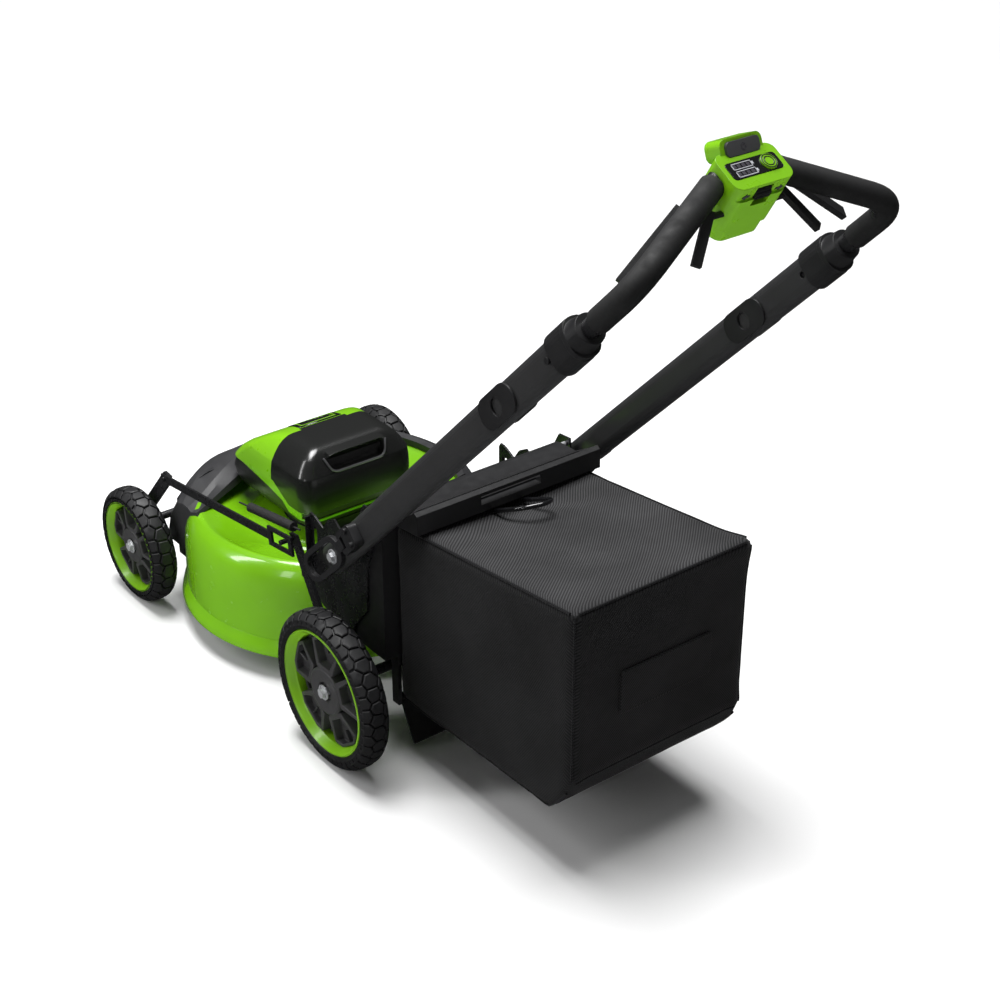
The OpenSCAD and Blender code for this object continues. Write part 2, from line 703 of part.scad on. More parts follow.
module pivot_bolts() {
  p = at_rail(pivot_s);
  color(STEEL) for (side = [-1, 1]) {
    cross_bolt(side, side * (rail_x + rail_t / 2), p.y, p.z, 10, rail_x + rail_t / 2 - plate_x + 1.2, 15);
    // spacer between the rail and its bracket
    difference() {
      side_hole(side * (plate_x + 6.15), 9, p.y, p.z, 22);
      side_hole(side * (plate_x + 6.15), 10, p.y, p.z, 10);
    }
  }
}

module lock_button(side) {
  color(BLACK) on_rail(side, snap_s) translate([side * (tube_d / 2 + 2.4), 0, 0]) rotate([0, side * 90, 0])
    cylinder(d = 9, h = 4);
}
module left_lock_button() { lock_button(1); }
module right_lock_button() { lock_button(-1); }

function handle_path() = let (
    corner = at_rail(corner_s),
    apex = corner + [0, -apex_drop_y, apex_rise])
  [rail_point(1, tube_bottom_s), [rail_x, corner.y, corner.z], apex, [-rail_x, corner.y, corner.z],
    rail_point(-1, tube_bottom_s)];

module upper_handle() {
  p = handle_path();
  color(BLACK) difference() {
    bent_bar(p, corner_bend, tube_d);
    for (side = [-1, 1]) on_rail(side, snap_s) translate([side * tube_d / 4, 0, 0]) rotate([0, side * 90, 0])
      cylinder(d = 9.1, h = tube_d);
  }
}

module foam_grips() {
  p = handle_path();
  start = rail_len + grip_gap;
  color(BLACK) for (side = [-1, 1]) {
    a = rail_point(side, start);
    corner = [side * rail_x, p[1].y, p[1].z];
    end = p[2] + unit(corner - p[2]) * (head_w / 2 + 8);
    difference() {
      bent_bar([a, corner, end], corner_bend, foam_d);
      bent_bar([a - rail_dir, corner, p[2]], corner_bend, tube_d);
    }
  }
}

// Children placed on the control head: local Z out of its face, local Y down towards the thumb wheel.
module on_head() {
  translate(handle_path()[2] + [0, 24, -18]) rotate([-head_tilt, 0, 0]) children();
}
head_tilt = 31;
label_y = -1;
boost_x = -22;
start_tilt = 38;
drive_pivot = [0, -33];
blade_pivot = [19, -28];

// Children placed on the tilted face of the start button's housing.
module on_start() {
  on_head() translate([0, -29, 21]) rotate([-start_tilt, 0, 0]) children();
}

module control_head() {
  color(GREEN) difference() {
    union() {
      on_head() {
        translate([0, -1, -20]) linear_extrude(head_top + 18) polygon(round_rect(head_w, 54, 12));
        translate([0, 6, -52]) linear_extrude(50) polygon(round_rect(head_w - 6, 46, 14));
        translate([0, 12, -70]) linear_extrude(40) polygon(round_rect(head_w - 18, 34, 14));
      }
      on_start() translate([0, 0, -26]) linear_extrude(26) polygon(round_rect(66, 26, 9));
    }
    on_start() translate([0, 0, -5]) linear_extrude(30) polygon(round_rect(52, 18, 6));
    on_head() {
      translate([0, label_y, head_top - 4]) linear_extrude(8) polygon(round_rect(78, 25, 5));
      translate([boost_x, label_y, head_top - 14]) cylinder(d = 22.4, h = 24);
      // slot of the thumb wheel
      translate([0, 22, 0]) cube([26, 34, 27], center = true);
      for (b = [drive_pivot, blade_pivot]) side_hole(0, 200, b.x, b.y, 8.2);
    }
  }
}

module head_label() {
  color(BLACK) on_head() difference() {
    translate([0, label_y, head_top - 4]) linear_extrude(2.6) polygon(round_rect(77.6, 24.6, 5));
    translate([boost_x, label_y, 0]) cylinder(d = 22.4, h = 60);
  }
}

module start_button() {
  color(DARK) on_start() translate([0, 0, -0.6]) linear_extrude(4.2) polygon(round_rect(51.6, 17.6, 5.8));
}

module boost_button() {
  color(GREEN) on_head() translate([boost_x, label_y, head_top - 5.5]) cylinder(d = 22, h = 6);
}

module speed_wheel() {
  color(BLACK) on_head() translate([0, 17.5, 0]) rotate([0, 90, 0]) difference() {
    cylinder(d = 24, h = 24, center = true);
    for (k = [0:11]) rotate(30 * k) translate([12.5, 0, 0]) cylinder(d = 3, h = 30, center = true);
  }
}

// A flat bar from one point to another.
module flat_bar(from, to, w, t) {
  v = to - from;
  l = norm(v);
  translate(from) rotate([0, acos(v.z / l), atan2(v.y, v.x)]) translate([-t / 2, -w / 2, -8]) cube([t, w, l + 8]);
}

// A bail: one shaft through the head with a flat lever at each end.
module bail(pivot, knee, tip, w, t) {
  color(BLACK) on_head() translate([0, pivot.x, pivot.y]) {
    rotate([0, 90, 0]) cylinder(d = 8, h = 2 * knee, center = true);
    for (side = [-1, 1]) flat_bar([side * knee, 0, 0], [side * tip.x, tip.y, tip.z], w, t);
  }
}
module drive_bail() { bail(drive_pivot, 92, [178, 36, -49], 16, 7.5); }
module blade_bail() { bail(blade_pivot, 62, [98, 41, -26], 12, 7.5); }

deck();
front_shroud();
motor_housing();
housing_panels();
display_panel();
battery_cover();
battery();
motor();
spindle_bearings();
blade_spindle();
blade_adapter();
blade();
blade_bolt();
rear_chassis();
handle_brackets();
rear_door();
door_rod();
door_spring();
trailing_flap();
grass_bag();
bag_frame();
bag_handle();
front_axle();
rear_axle_arms();
drive_gearbox();
front_axle_bolts();
rear_axle_bolts();
height_link();
height_spring();
front_left_tyre();
front_left_rim();
front_left_spokes();
front_right_tyre();
front_right_rim();
front_right_spokes();
rear_left_tyre();
rear_left_rim();
rear_left_spokes();
rear_right_tyre();
rear_right_rim();
rear_right_spokes();
rails();
rail_bezels();
rail_collars();
lever_mounts();
left_release_lever();
right_release_lever();
pivot_bolts();
left_lock_button();
right_lock_button();
upper_handle();
foam_grips();
control_head();
head_label();
start_button();
boost_button();
speed_wheel();
drive_bail();
blade_bail();
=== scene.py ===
"""Looks of a battery lawn mower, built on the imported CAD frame.

Frame: metres, Z up, ground at Z = 0, +Y towards the operator, +X on the
operator's left. Sizes below are in millimetres and scaled by MM.
"""
import json
import math
import random

import bmesh
import bpy
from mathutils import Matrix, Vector, noise


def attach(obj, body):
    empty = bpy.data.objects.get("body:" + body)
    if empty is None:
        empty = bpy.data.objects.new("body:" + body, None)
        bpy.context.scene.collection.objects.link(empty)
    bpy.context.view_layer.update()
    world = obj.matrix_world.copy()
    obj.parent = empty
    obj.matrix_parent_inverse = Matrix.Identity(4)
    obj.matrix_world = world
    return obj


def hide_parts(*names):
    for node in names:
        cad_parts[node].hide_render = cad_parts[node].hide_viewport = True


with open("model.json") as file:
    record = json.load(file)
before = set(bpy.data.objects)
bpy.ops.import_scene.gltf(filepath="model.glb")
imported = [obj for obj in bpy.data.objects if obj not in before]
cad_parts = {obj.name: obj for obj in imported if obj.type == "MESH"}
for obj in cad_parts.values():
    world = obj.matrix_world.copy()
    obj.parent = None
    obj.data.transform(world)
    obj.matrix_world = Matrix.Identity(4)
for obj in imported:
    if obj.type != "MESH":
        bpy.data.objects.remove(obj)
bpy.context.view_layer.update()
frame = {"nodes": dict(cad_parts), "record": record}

MM = 0.001

# ---- driving dimensions, as in the CAD model ----
REAR_AXLE_Y = 51
FRONT_AXLE_Y = REAR_AXLE_Y - 596
DECK_Y = REAR_AXLE_Y - 379
DECK_R = 257
HEM_Z = 42
WHEEL_X = 252.5
TYRE_W = 45
RAIL_ANGLE = math.radians(45.4)
RAIL_DIR = Vector((0, math.cos(RAIL_ANGLE), math.sin(RAIL_ANGLE)))
RAIL_FOOT = Vector((208, REAR_AXLE_Y - 45, 315))
BAG_FRONT = REAR_AXLE_Y + 39
BAG_BACK = BAG_FRONT + 402


# ---- materials ----

def new_material(name):
    """A material, its node tree, its Principled shader and its object coordinates."""
    material = bpy.data.materials.new(name)
    material.use_nodes = True
    tree = material.node_tree
    shader = tree.nodes["Principled BSDF"]
    coords = tree.nodes.new("ShaderNodeTexCoord").outputs["Object"]
    return material, tree, shader, coords


def noise_node(tree, coords, scale, detail=4, roughness=0.55):
    node = tree.nodes.new("ShaderNodeTexNoise")
    node.inputs["Scale"].default_value = scale
    node.inputs["Detail"].default_value = detail
    node.inputs["Roughness"].default_value = roughness
    tree.links.new(coords, node.inputs["Vector"])
    return node.outputs["Fac"]


def remap(tree, value, low, high):
    """Maps a 0..1 noise onto low..high."""
    node = tree.nodes.new("ShaderNodeMapRange")
    node.inputs["From Min"].default_value = 0.3
    node.inputs["From Max"].default_value = 0.7
    node.inputs["To Min"].default_value = low
    node.inputs["To Max"].default_value = high
    tree.links.new(value, node.inputs["Value"])
    return node.outputs["Result"]


def ramp(tree, value, dark, light):
    """Colours between dark and light by value."""
    node = tree.nodes.new("ShaderNodeValToRGB")
    node.color_ramp.elements[0].position = 0.3
    node.color_ramp.elements[1].position = 0.7
    node.color_ramp.elements[0].color = (*dark, 1)
    node.color_ramp.elements[1].color = (*light, 1)
    tree.links.new(value, node.inputs["Fac"])
    return node.outputs["Color"]


def bump(tree, height, strength, distance, normal=None):
    node = tree.nodes.new("ShaderNodeBump")
    node.inputs["Strength"].default_value = strength
    node.inputs["Distance"].default_value = distance
    tree.links.new(height, node.inputs["Height"])
    if normal is not None:
        tree.links.new(normal, node.inputs["Normal"])
    return node.outputs["Normal"]


def rounded_edges(tree, radius):
    """Softens the look of hard edges."""
    node = tree.nodes.new("ShaderNodeBevel")
    node.samples = 4
    node.inputs["Radius"].default_value = radius
    return node.outputs["Normal"]


def moulded(name, colour, rough, grain=1200, grain_depth=0.00006, spread=0.12, coat=0.0, metallic=0.0,
            edge=0.0012):
    """Moulded plastic, paint or metal: slight colour drift, uneven gloss, fine grain and softened edges."""
    material, tree, shader, coords = new_material(name)
    drift = noise_node(tree, coords, 14, 3)
    dark = tuple(c * (1 - spread) for c in colour)
    light = tuple(min(1, c * (1 + spread)) for c in colour)
    tree.links.new(ramp(tree, drift, dark, light), shader.inputs["Base Color"])
    gloss = noise_node(tree, coords, 60, 4)
    tree.links.new(remap(tree, gloss, rough * 0.85, min(1, rough * 1.15)), shader.inputs["Roughness"])
    shader.inputs["Metallic"].default_value = metallic
    shader.inputs["Coat Weight"].default_value = coat
    shader.inputs["Coat Roughness"].default_value = 0.06
    normal = bump(tree, noise_node(tree, coords, grain, 2), 0.35, grain_depth, rounded_edges(tree, edge))
    tree.links.new(normal, shader.inputs["Normal"])
    return material


def twill(name, colour, pitch, sheen, lean=1):
    """Woven cloth with diagonal ribs, pitch in metres; lean is which way they slant, 1 or -1."""
    material, tree, shader, coords = new_material(name)
    wave = tree.nodes.new("ShaderNodeTexWave")
    wave.bands_direction = "DIAGONAL"
    wave.inputs["Scale"].default_value = 0.31 / pitch
    wave.inputs["Distortion"].default_value = 0.25
    wave.inputs["Detail"].default_value = 1
    wave.inputs["Detail Scale"].default_value = 3
    slant = tree.nodes.new("ShaderNodeVectorMath")
    slant.operation = "MULTIPLY"
    slant.inputs[1].default_value = (lean, 1, 1)
    tree.links.new(coords, slant.inputs[0])
    tree.links.new(slant.outputs["Vector"], wave.inputs["Vector"])
    soil = noise_node(tree, coords, 9, 5)
    dark = tuple(c * 0.75 for c in colour)
    light = tuple(c * 1.3 for c in colour)
    base = ramp(tree, soil, dark, light)
    mix = tree.nodes.new("ShaderNodeMix")
    mix.data_type = "RGBA"
    mix.blend_type = "MULTIPLY"
    mix.inputs["Factor"].default_value = 0.9
    tree.links.new(base, mix.inputs["A"])
    ribs = ramp(tree, wave.outputs["Fac"], (0.35, 0.35, 0.36), (1.25, 1.25, 1.27))
    tree.links.new(ribs, mix.inputs["B"])
    tree.links.new(mix.outputs["Result"], shader.inputs["Base Color"])
    shader.inputs["Roughness"].default_value = 0.82
    shader.inputs["Specular IOR Level"].default_value = 0.2
    shader.inputs["Sheen Weight"].default_value = sheen
    shader.inputs["Sheen Roughness"].default_value = 0.4
    fine = bump(tree, noise_node(tree, coords, 900, 2), 0.4, 0.0003)
    tree.links.new(bump(tree, wave.outputs["Fac"], 0.7, 0.0006, fine), shader.inputs["Normal"])
    return material


def knurled(name, colour, pitch):
    """A mesh sleeve: small raised cells over a dark ground."""
    material, tree, shader, coords = new_material(name)
    cells = tree.nodes.new("ShaderNodeTexVoronoi")
    cells.inputs["Scale"].default_value = 1 / pitch
    tree.links.new(coords, cells.inputs["Vector"])
    lighter = tuple(c * 2.2 for c in colour)
    tree.links.new(ramp(tree, cells.outputs["Distance"], lighter, colour), shader.inputs["Base Color"])
    tree.links.new(bump(tree, cells.outputs["Distance"], 0.9, 0.0008), shader.inputs["Normal"])
    shader.inputs["Roughness"].default_value = 0.6
    return material


def smoked(name):
    """Dark smoked plastic, drawn opaque, with painted green light from the cowl towards its lower edge."""
    material, tree, shader, coords = new_material(name)
    split = tree.nodes.new("ShaderNodeSeparateXYZ")
    tree.links.new(coords, split.inputs["Vector"])
    height = tree.nodes.new("ShaderNodeMapRange")
    height.inputs["From Min"].default_value = 0.235
    height.inputs["From Max"].default_value = 0.31
    tree.links.new(split.outputs["Z"], height.inputs["Value"])
    # painted green light from the cowl, strongest at the cover's lower edge and fading to black higher up
    painted_cowl_green = (0.013, 0.026, 0.006)
    black = (0.011, 0.0115, 0.011)
    tree.links.new(ramp(tree, height.outputs["Result"], painted_cowl_green, black), shader.inputs["Base Color"])
    shader.inputs["Roughness"].default_value = 0.24
    shader.inputs["Coat Weight"].default_value = 0.35
    shader.inputs["Coat Roughness"].default_value = 0.12
    normal = bump(tree, noise_node(tree, coords, 700, 2), 0.2, 0.00005, rounded_edges(tree, 0.0015))
    tree.links.new(normal, shader.inputs["Normal"])
    return material


GREEN = (0.18, 0.47, 0.006)
paint = moulded("green_paint", GREEN, 0.24, 400, 0.00002, 0.04, 0.9, edge=0.0004)
green_plastic = moulded("green_plastic", (0.2, 0.5, 0.007), 0.3, 900, 0.00003, 0.05, 0.4)
rim_green = moulded("rim_green", (0.19, 0.45, 0.006), 0.34, 900, 0.00004, 0.06, 0.2)
grey_plastic = moulded("grey_plastic", (0.026, 0.026, 0.028), 0.4, 1400, 0.00008)
hood_grey = moulded("hood_grey", (0.034, 0.034, 0.036), 0.42, 1400, 0.00008)
spoke_grey = moulded("spoke_grey", (0.045, 0.044, 0.046), 0.45, 1400, 0.00008)
black_gloss = moulded("black_gloss", (0.006, 0.006, 0.007), 0.16, 600, 0.00002, 0.1, 0.6)
black_plastic = moulded("black_plastic", (0.014, 0.014, 0.015), 0.38, 1500, 0.00008)
black_steel = moulded("black_steel", (0.011, 0.011, 0.012), 0.28, 1100, 0.00005, 0.15, 0.25)
rail_metal = moulded("rail_metal", (0.028, 0.028, 0.029), 0.33, 1600, 0.00004, 0.08, 0.15)
steel = moulded("steel", (0.6, 0.61, 0.63), 0.3, 900, 0.00003, 0.1, 0.0, 0.55)
dark_motor = moulded("dark_motor", (0.012, 0.012, 0.013), 0.5, 900, 0.0001)
tyre_rubber = moulded("tyre_rubber", (0.011, 0.011, 0.012), 0.5, 900, 0.00012, 0.2, edge=0.0008)
flap_rubber = moulded("flap_rubber", (0.008, 0.008, 0.008), 0.6, 700, 0.0002, 0.2)
foam = moulded("foam", (0.009, 0.009, 0.0095), 0.75, 1500, 0.00025, 0.2)
bag_cloth = twill("bag_cloth", (0.012, 0.012, 0.0125), 0.0026, 0.05)
# a lighter copy of the bag cloth for the top: its extra brightness is a painted highlight of the overhead
# light, while its ribs slant the other way, as the top panel's weave does
bag_top_cloth_painted_light = twill("bag_top_cloth_painted_light", (0.04, 0.04, 0.041), 0.0028, 0.1, -1)
piping = twill("piping", (0.008, 0.008, 0.009), 0.002, 0.08)
button_grey = moulded("button_grey", (0.07, 0.07, 0.075), 0.5, 1200, 0.00005)
lip_grey = moulded("lip_grey", (0.09, 0.09, 0.095), 0.22, 900, 0.00002, 0.1, 0.4)
smoked_plastic = smoked("smoked_cover")
sleeve = knurled("sleeve", (0.006, 0.006, 0.006), 0.0026)

SLOT_MATERIALS = {
    "green_paint": paint,
    "green_plastic": green_plastic,
    "grey_plastic": grey_plastic,
    "black_gloss": black_gloss,
    "smoked_cover": smoked_plastic,
    "black_plastic": black_plastic,
    "black_steel": black_steel,
    "rail_aluminium": rail_metal,
    "steel": steel,
    "tyre": tyre_rubber,
    "rubber": flap_rubber,
    "foam": foam,
    "bag_fabric": bag_cloth,
}

# nodes that look different from the rest of their slot
NODE_MATERIALS = {
    "motor": dark_motor,
    "height_spring": sleeve,
    "start_button": button_grey,
}


def dress_cad_nodes():
    """Gives each CAD node its own material, or else that of its slot."""
    for part in frame["record"]["subparts"]:
        obj = frame["nodes"][part["node"]]
        material = SLOT_MATERIALS[part["material_slot"]]
        material = NODE_MATERIALS.get(part["node"], material)
        for slot in obj.material_slots:
            slot.material = material


# ---- mesh helpers ----

def finish_piece(bm, name, material, body, replaces=(), sharp=35):
    """Turns a bmesh in millimetres into a piece that rides on a body."""
    bmesh.ops.remove_doubles(bm, verts=bm.verts, dist=0.001)
    bmesh.ops.recalc_face_normals(bm, faces=bm.faces)
    bmesh.ops.scale(bm, vec=(MM, MM, MM), verts=bm.verts)
    mesh = bpy.data.meshes.new(name)
    bm.to_mesh(mesh)
    bm.free()
    materials = material if isinstance(material, (list, tuple)) else [material]
    for entry in materials:
        mesh.materials.append(entry)
    for polygon in mesh.polygons:
        polygon.use_smooth = True
    mesh.set_sharp_from_angle(angle=math.radians(sharp))
    obj = bpy.data.objects.new(name, mesh)
    bpy.context.scene.collection.objects.link(obj)
    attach(obj, body)
    if replaces:
        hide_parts(*replaces)
    return obj


def soften(obj, width, segments=2, angle=30):
    """Rounds the piece's sharp edges."""
    modifier = obj.modifiers.new("soft_edges", "BEVEL")
    modifier.width = width * MM
    modifier.segments = segments
    modifier.limit_method = "ANGLE"
    modifier.angle_limit = math.radians(angle)
    modifier.harden_normals = True
    return obj


def thicken(obj, thickness):
    """Gives a single skin a wall inwards."""
    modifier = obj.modifiers.new("wall", "SOLIDIFY")
    modifier.thickness = thickness * MM
    modifier.offset = -1
    return obj


def grid_faces(bm, rows, wrap_rows=False, wrap_columns=True):
    """Joins rows of vertices into quads."""
    count = len(rows)
    width = len(rows[0])
    for i in range(count if wrap_rows else count - 1):
        row = rows[i]
        after = rows[(i + 1) % count]
        for k in range(width if wrap_columns else width - 1):
            m = (k + 1) % width
            bm.faces.new((row[k], row[m], after[m], after[k]))


def lathe(bm, profile, centre, axis, steps=96):
    """Turns a closed outline of (radius, along) points about an axis, "x" or "z", through centre."""
    rows = []
    for i in range(steps):
        a = math.tau * i / steps
        row = []
        for radius, along in profile:
            if axis == "z":
                p = Vector((radius * math.cos(a), radius * math.sin(a), along))
            else:
                p = Vector((along, radius * math.cos(a), radius * math.sin(a)))
            row.append(bm.verts.new(p + Vector(centre)))
        rows.append(row)
    grid_faces(bm, rows, wrap_rows=True)


def extrude_outline(bm, outline, depth, place):
    """A prism: outline points (u, v) and depth range (low, high), placed by place(u, v, w)."""
    low = [bm.verts.new(place(u, v, depth[0])) for u, v in outline]
    high = [bm.verts.new(place(u, v, depth[1])) for u, v in outline]
    grid_faces(bm, [low, high])
    bm.faces.new(low[::-1])
    bm.faces.new(high)


def tube(bm, path, radius, sides=16, closed=False):
    """A round bar along a path of points; radius is one number or a list with one for each point."""
    points = [Vector(p) for p in path]
    count = len(points)
    rows = []
    up = Vector((0, 0, 1))
    for i, point in enumerate(points):
        before = points[i - 1] if i or closed else point
        after = points[(i + 1) % count] if i < count - 1 or closed else point
        along = (after - before).normalized()
        side = along.cross(up)
        if side.length < 0.15:
            side = along.cross(Vector((0, 1, 0)))
        side.normalize()
        lift = side.cross(along).normalized()
        r = radius[i] if isinstance(radius, (list, tuple)) else radius
        row = []
        for k in range(sides):
            a = math.tau * k / sides
            row.append(bm.verts.new(point + side * r * math.cos(a) + lift * r * math.sin(a)))
        rows.append(row)
    grid_faces(bm, rows, wrap_rows=closed)
    if not closed:
        bm.faces.new(rows[0][::-1])
        bm.faces.new(rows[-1])


def round_path(points, radius, steps=6):
    """Points with their inner corners rounded."""
    points = [Vector(p) for p in points]
    out = [points[0]]
    for before, corner, after in zip(points, points[1:], points[2:]):
        back = before - corner
        on = after - corner
        reach = min(radius, back.length * 0.49, on.length * 0.49)
        a = corner + back.normalized() * reach
        b = corner + on.normalized() * reach
        for k in range(steps + 1):
            t = k / steps
            out.append(a * (1 - t) ** 2 + corner * 2 * t * (1 - t) + b * t ** 2)
    out.append(points[-1])
    return out


def rounded_rectangle(width, height, radius, steps=6):
    """Outline of a rectangle with round corners, centred on zero."""
    out = []
    for cx, cy, turn in ((1, 1, 0), (-1, 1, 1), (-1, -1, 2), (1, -1, 3)):
        for k in range(steps + 1):
            a = math.pi / 2 * (turn + k / steps)
            x = cx * (width / 2 - radius) + radius * math.cos(a)
            y = cy * (height / 2 - radius) + radius * math.sin(a)
            out.append((x, y))
    return out


# ---- wheels ----

def tread_cells(circumference, half_width, pitch, rng):
    """Irregular block outlines in (around, across) coordinates, by halving the plane between seeds."""
    rows = (-half_width * 0.78, 0.0, half_width * 0.78)
    wobble_around = 4.6
    wobble_across = 2.6
    near = 2.2 * pitch
    count = int(circumference / pitch)
    seeds = []
    for r, across in enumerate(rows):
        for k in range(count):
            around = (k + 0.5 * (r % 2)) * circumference / count
            u = around + rng.uniform(-wobble_around, wobble_around)
            v = across + rng.uniform(-wobble_across, wobble_across)
            seeds.append((u, v))
    cells = []
    for index, (u, v) in enumerate(seeds):
        polygon = [(u - pitch, -half_width), (u + pitch, -half_width),
                   (u + pitch, half_width), (u - pitch, half_width)]
        for other, (a, b) in enumerate(seeds):
            if other == index:
                continue
            for shift in (-circumference, 0, circumference):
                if abs(a + shift - u) < near:
                    polygon = clip(polygon, (u, v), (a + shift, b))
        cells.append(polygon)
    return cells


def clip(polygon, own, other):
    """The part of a polygon that is nearer to own than to other."""
    mid = ((own[0] + other[0]) / 2, (own[1] + other[1]) / 2)
    normal = (other[0] - own[0], other[1] - own[1])
    side = [(p[0] - mid[0]) * normal[0] + (p[1] - mid[1]) * normal[1] for p in polygon]
    out = []
    for i, p in enumerate(polygon):
        q = polygon[(i + 1) % len(polygon)]
        s, t = side[i], side[(i + 1) % len(polygon)]
        if s <= 0:
            out.append(p)
        if s * t < 0:
            f = s / (s - t)
            out.append((p[0] + (q[0] - p[0]) * f, p[1] + (q[1] - p[1]) * f))
    return out


def shrink(polygon, by):
    """A convex polygon moved in from its edges, by scaling about its middle."""
    cx = sum(p[0] for p in polygon) / len(polygon)
    cy = sum(p[1] for p in polygon) / len(polygon)
    reach = min(math.hypot(p[0] - cx, p[1] - cy) for p in polygon)
    f = max(0.2, 1 - by / max(reach, 0.1))
    return [(cx + (p[0] - cx) * f, cy + (p[1] - cy) * f) for p in polygon]


def split_edges(polygon, longest):
    out = []
    for i, p in enumerate(polygon):
        q = polygon[(i + 1) % len(polygon)]
        n = max(1, math.ceil(math.hypot(q[0] - p[0], q[1] - p[1]) / longest))
        out += [(p[0] + (q[0] - p[0]) * k / n, p[1] + (q[1] - p[1]) * k / n) for k in range(n)]
    return out


def add_tread(bm, centre, base, curve, rng):
    """Moulded blocks, laid along the curve from the tyre's middle round each shoulder."""
    lengths = [0.0]
    for (r0, x0), (r1, x1) in zip(curve, curve[1:]):
        lengths.append(lengths[-1] + math.hypot(r1 - r0, x1 - x0))

    def on_tyre(around, across, height):
        reach = min(abs(across), lengths[-1])
        i = max(k for k in range(len(curve) - 1) if lengths[k] <= reach + 1e-9)
        f = (reach - lengths[i]) / (lengths[i + 1] - lengths[i])
        r = curve[i][0] + (curve[i + 1][0] - curve[i][0]) * f
        x = curve[i][1] + (curve[i + 1][1] - curve[i][1]) * f
        lean = min(1.0, reach / lengths[-1]) ** 2 * 1.1
        r += height * math.cos(lean)
        x += height * math.sin(lean) * 0.5
        a = around / base
        x = math.copysign(x, across) if across else 0
        return Vector((x, r * math.cos(a), r * math.sin(a))) + Vector(centre)

    gap = 1.3
    longest_edge = 7
    top_share = 0.86
    edge_height = 3.4
    top_height = 4.3
    for polygon in tread_cells(math.tau * base, lengths[-1] * 0.93, 21, rng):
        if len(polygon) < 3:
            continue
        foot = split_edges(shrink(polygon, gap), longest_edge)
        cx = sum(p[0] for p in foot) / len(foot)
        cy = sum(p[1] for p in foot) / len(foot)
        top = [(cx + (p[0] - cx) * top_share, cy + (p[1] - cy) * top_share) for p in foot]
        low = [bm.verts.new(on_tyre(u, v, -1.0)) for u, v in foot]
        mid = [bm.verts.new(on_tyre(u, v, edge_height)) for u, v in foot]
        high = [bm.verts.new(on_tyre(u, v, top_height)) for u, v in top]
        middle = bm.verts.new(on_tyre(cx, cy, top_height))
        n = len(foot)
        for k in range(n):
            m = (k + 1) % n
            bm.faces.new((low[k], low[m], mid[m], mid[k]))
            bm.faces.new((mid[k], mid[m], high[m], high[k]))
            bm.faces.new((high[k], high[m], middle))


def add_shoulder_ribs(bm, centre, base, half):
    """Small boxes round both shoulders, inside the tread."""
    ribs = 52
    box_faces = ((0, 1, 3, 2), (4, 6, 7, 5), (1, 5, 7, 3), (0, 2, 6, 4), (0, 4, 5, 1), (2, 3, 7, 6))
    for sign in (-1, 1):
        for k in range(ribs):
            first = math.tau * (k + 0.16) / ribs
            last = math.tau * (k + 0.84) / ribs
            corners = []
            for r, x in ((base - 15.5, half - 1.6), (base - 6.8, half - 2.6)):
                for a in (first, last):
                    for out in (-0.5, 1.5):
                        p = Vector((sign * (x + out), r * math.cos(a), r * math.sin(a)))
                        corners.append(bm.verts.new(p + Vector(centre)))
            for quad in box_faces:
                bm.faces.new([corners[q] for q in quad])


def make_tyre(name, centre, radius, seed):
    """A tyre with a carcass, moulded tread blocks and small ribs on its shoulders."""
    half = TYRE_W / 2
    base = radius - 4.6
    inner = radius * 0.79
    crown = [(base - 13, half - 1.2), (base - 6.5, half - 3.4), (base - 1.6, half - 9), (base, half - 16),
             (base + 0.2, 0)]
    profile = [(inner, half - 4), (inner + 2.5, half - 1.6), (inner + 8, half - 0.4)] + crown
    profile += [(r, -x) for r, x in reversed(profile[:-1])]
    profile += [(inner - 4, -(half - 8)), (inner - 4, half - 8)]
    bm = bmesh.new()
    lathe(bm, profile, centre, "x", 120)
    add_tread(bm, centre, base, crown[::-1], random.Random(seed))
    add_shoulder_ribs(bm, centre, base, half)
    return finish_piece(bm, name + "_tyre_mesh", tyre_rubber, name + "_wheel", (name + "_tyre",), 30)


def make_rim(name, centre, radius, side):
    """The green rim: a rolled lip outside and a deep barrel."""
    outer = radius * 0.8
    lip = radius * 0.755
    barrel = radius * 0.70
    h = TYRE_W / 2
    back_face = [(outer - 4, -(h - 6)), (outer, -(h - 4.5)), (outer - 1, -(h - 3)), (barrel, -(h - 3))]
    well = [(barrel, 0), (barrel + 0.5, h - 15), (lip - 3, h - 12), (lip, h - 4), (lip + 2.5, h - 1.8)]
    front_face = [(outer - 3.5, h - 1.2), (outer - 1.2, h - 2.2), (outer - 1, h - 5), (outer - 5, h - 9),
                  (outer - 5, -(h - 9))]
    profile = back_face + well + front_face
    bm = bmesh.new()
    lathe(bm, [(r, side * x) for r, x in profile], centre, "x", 96)
    return finish_piece(bm, name + "_rim_mesh", rim_green, name + "_wheel",
                        (name + "_rim",), 40)


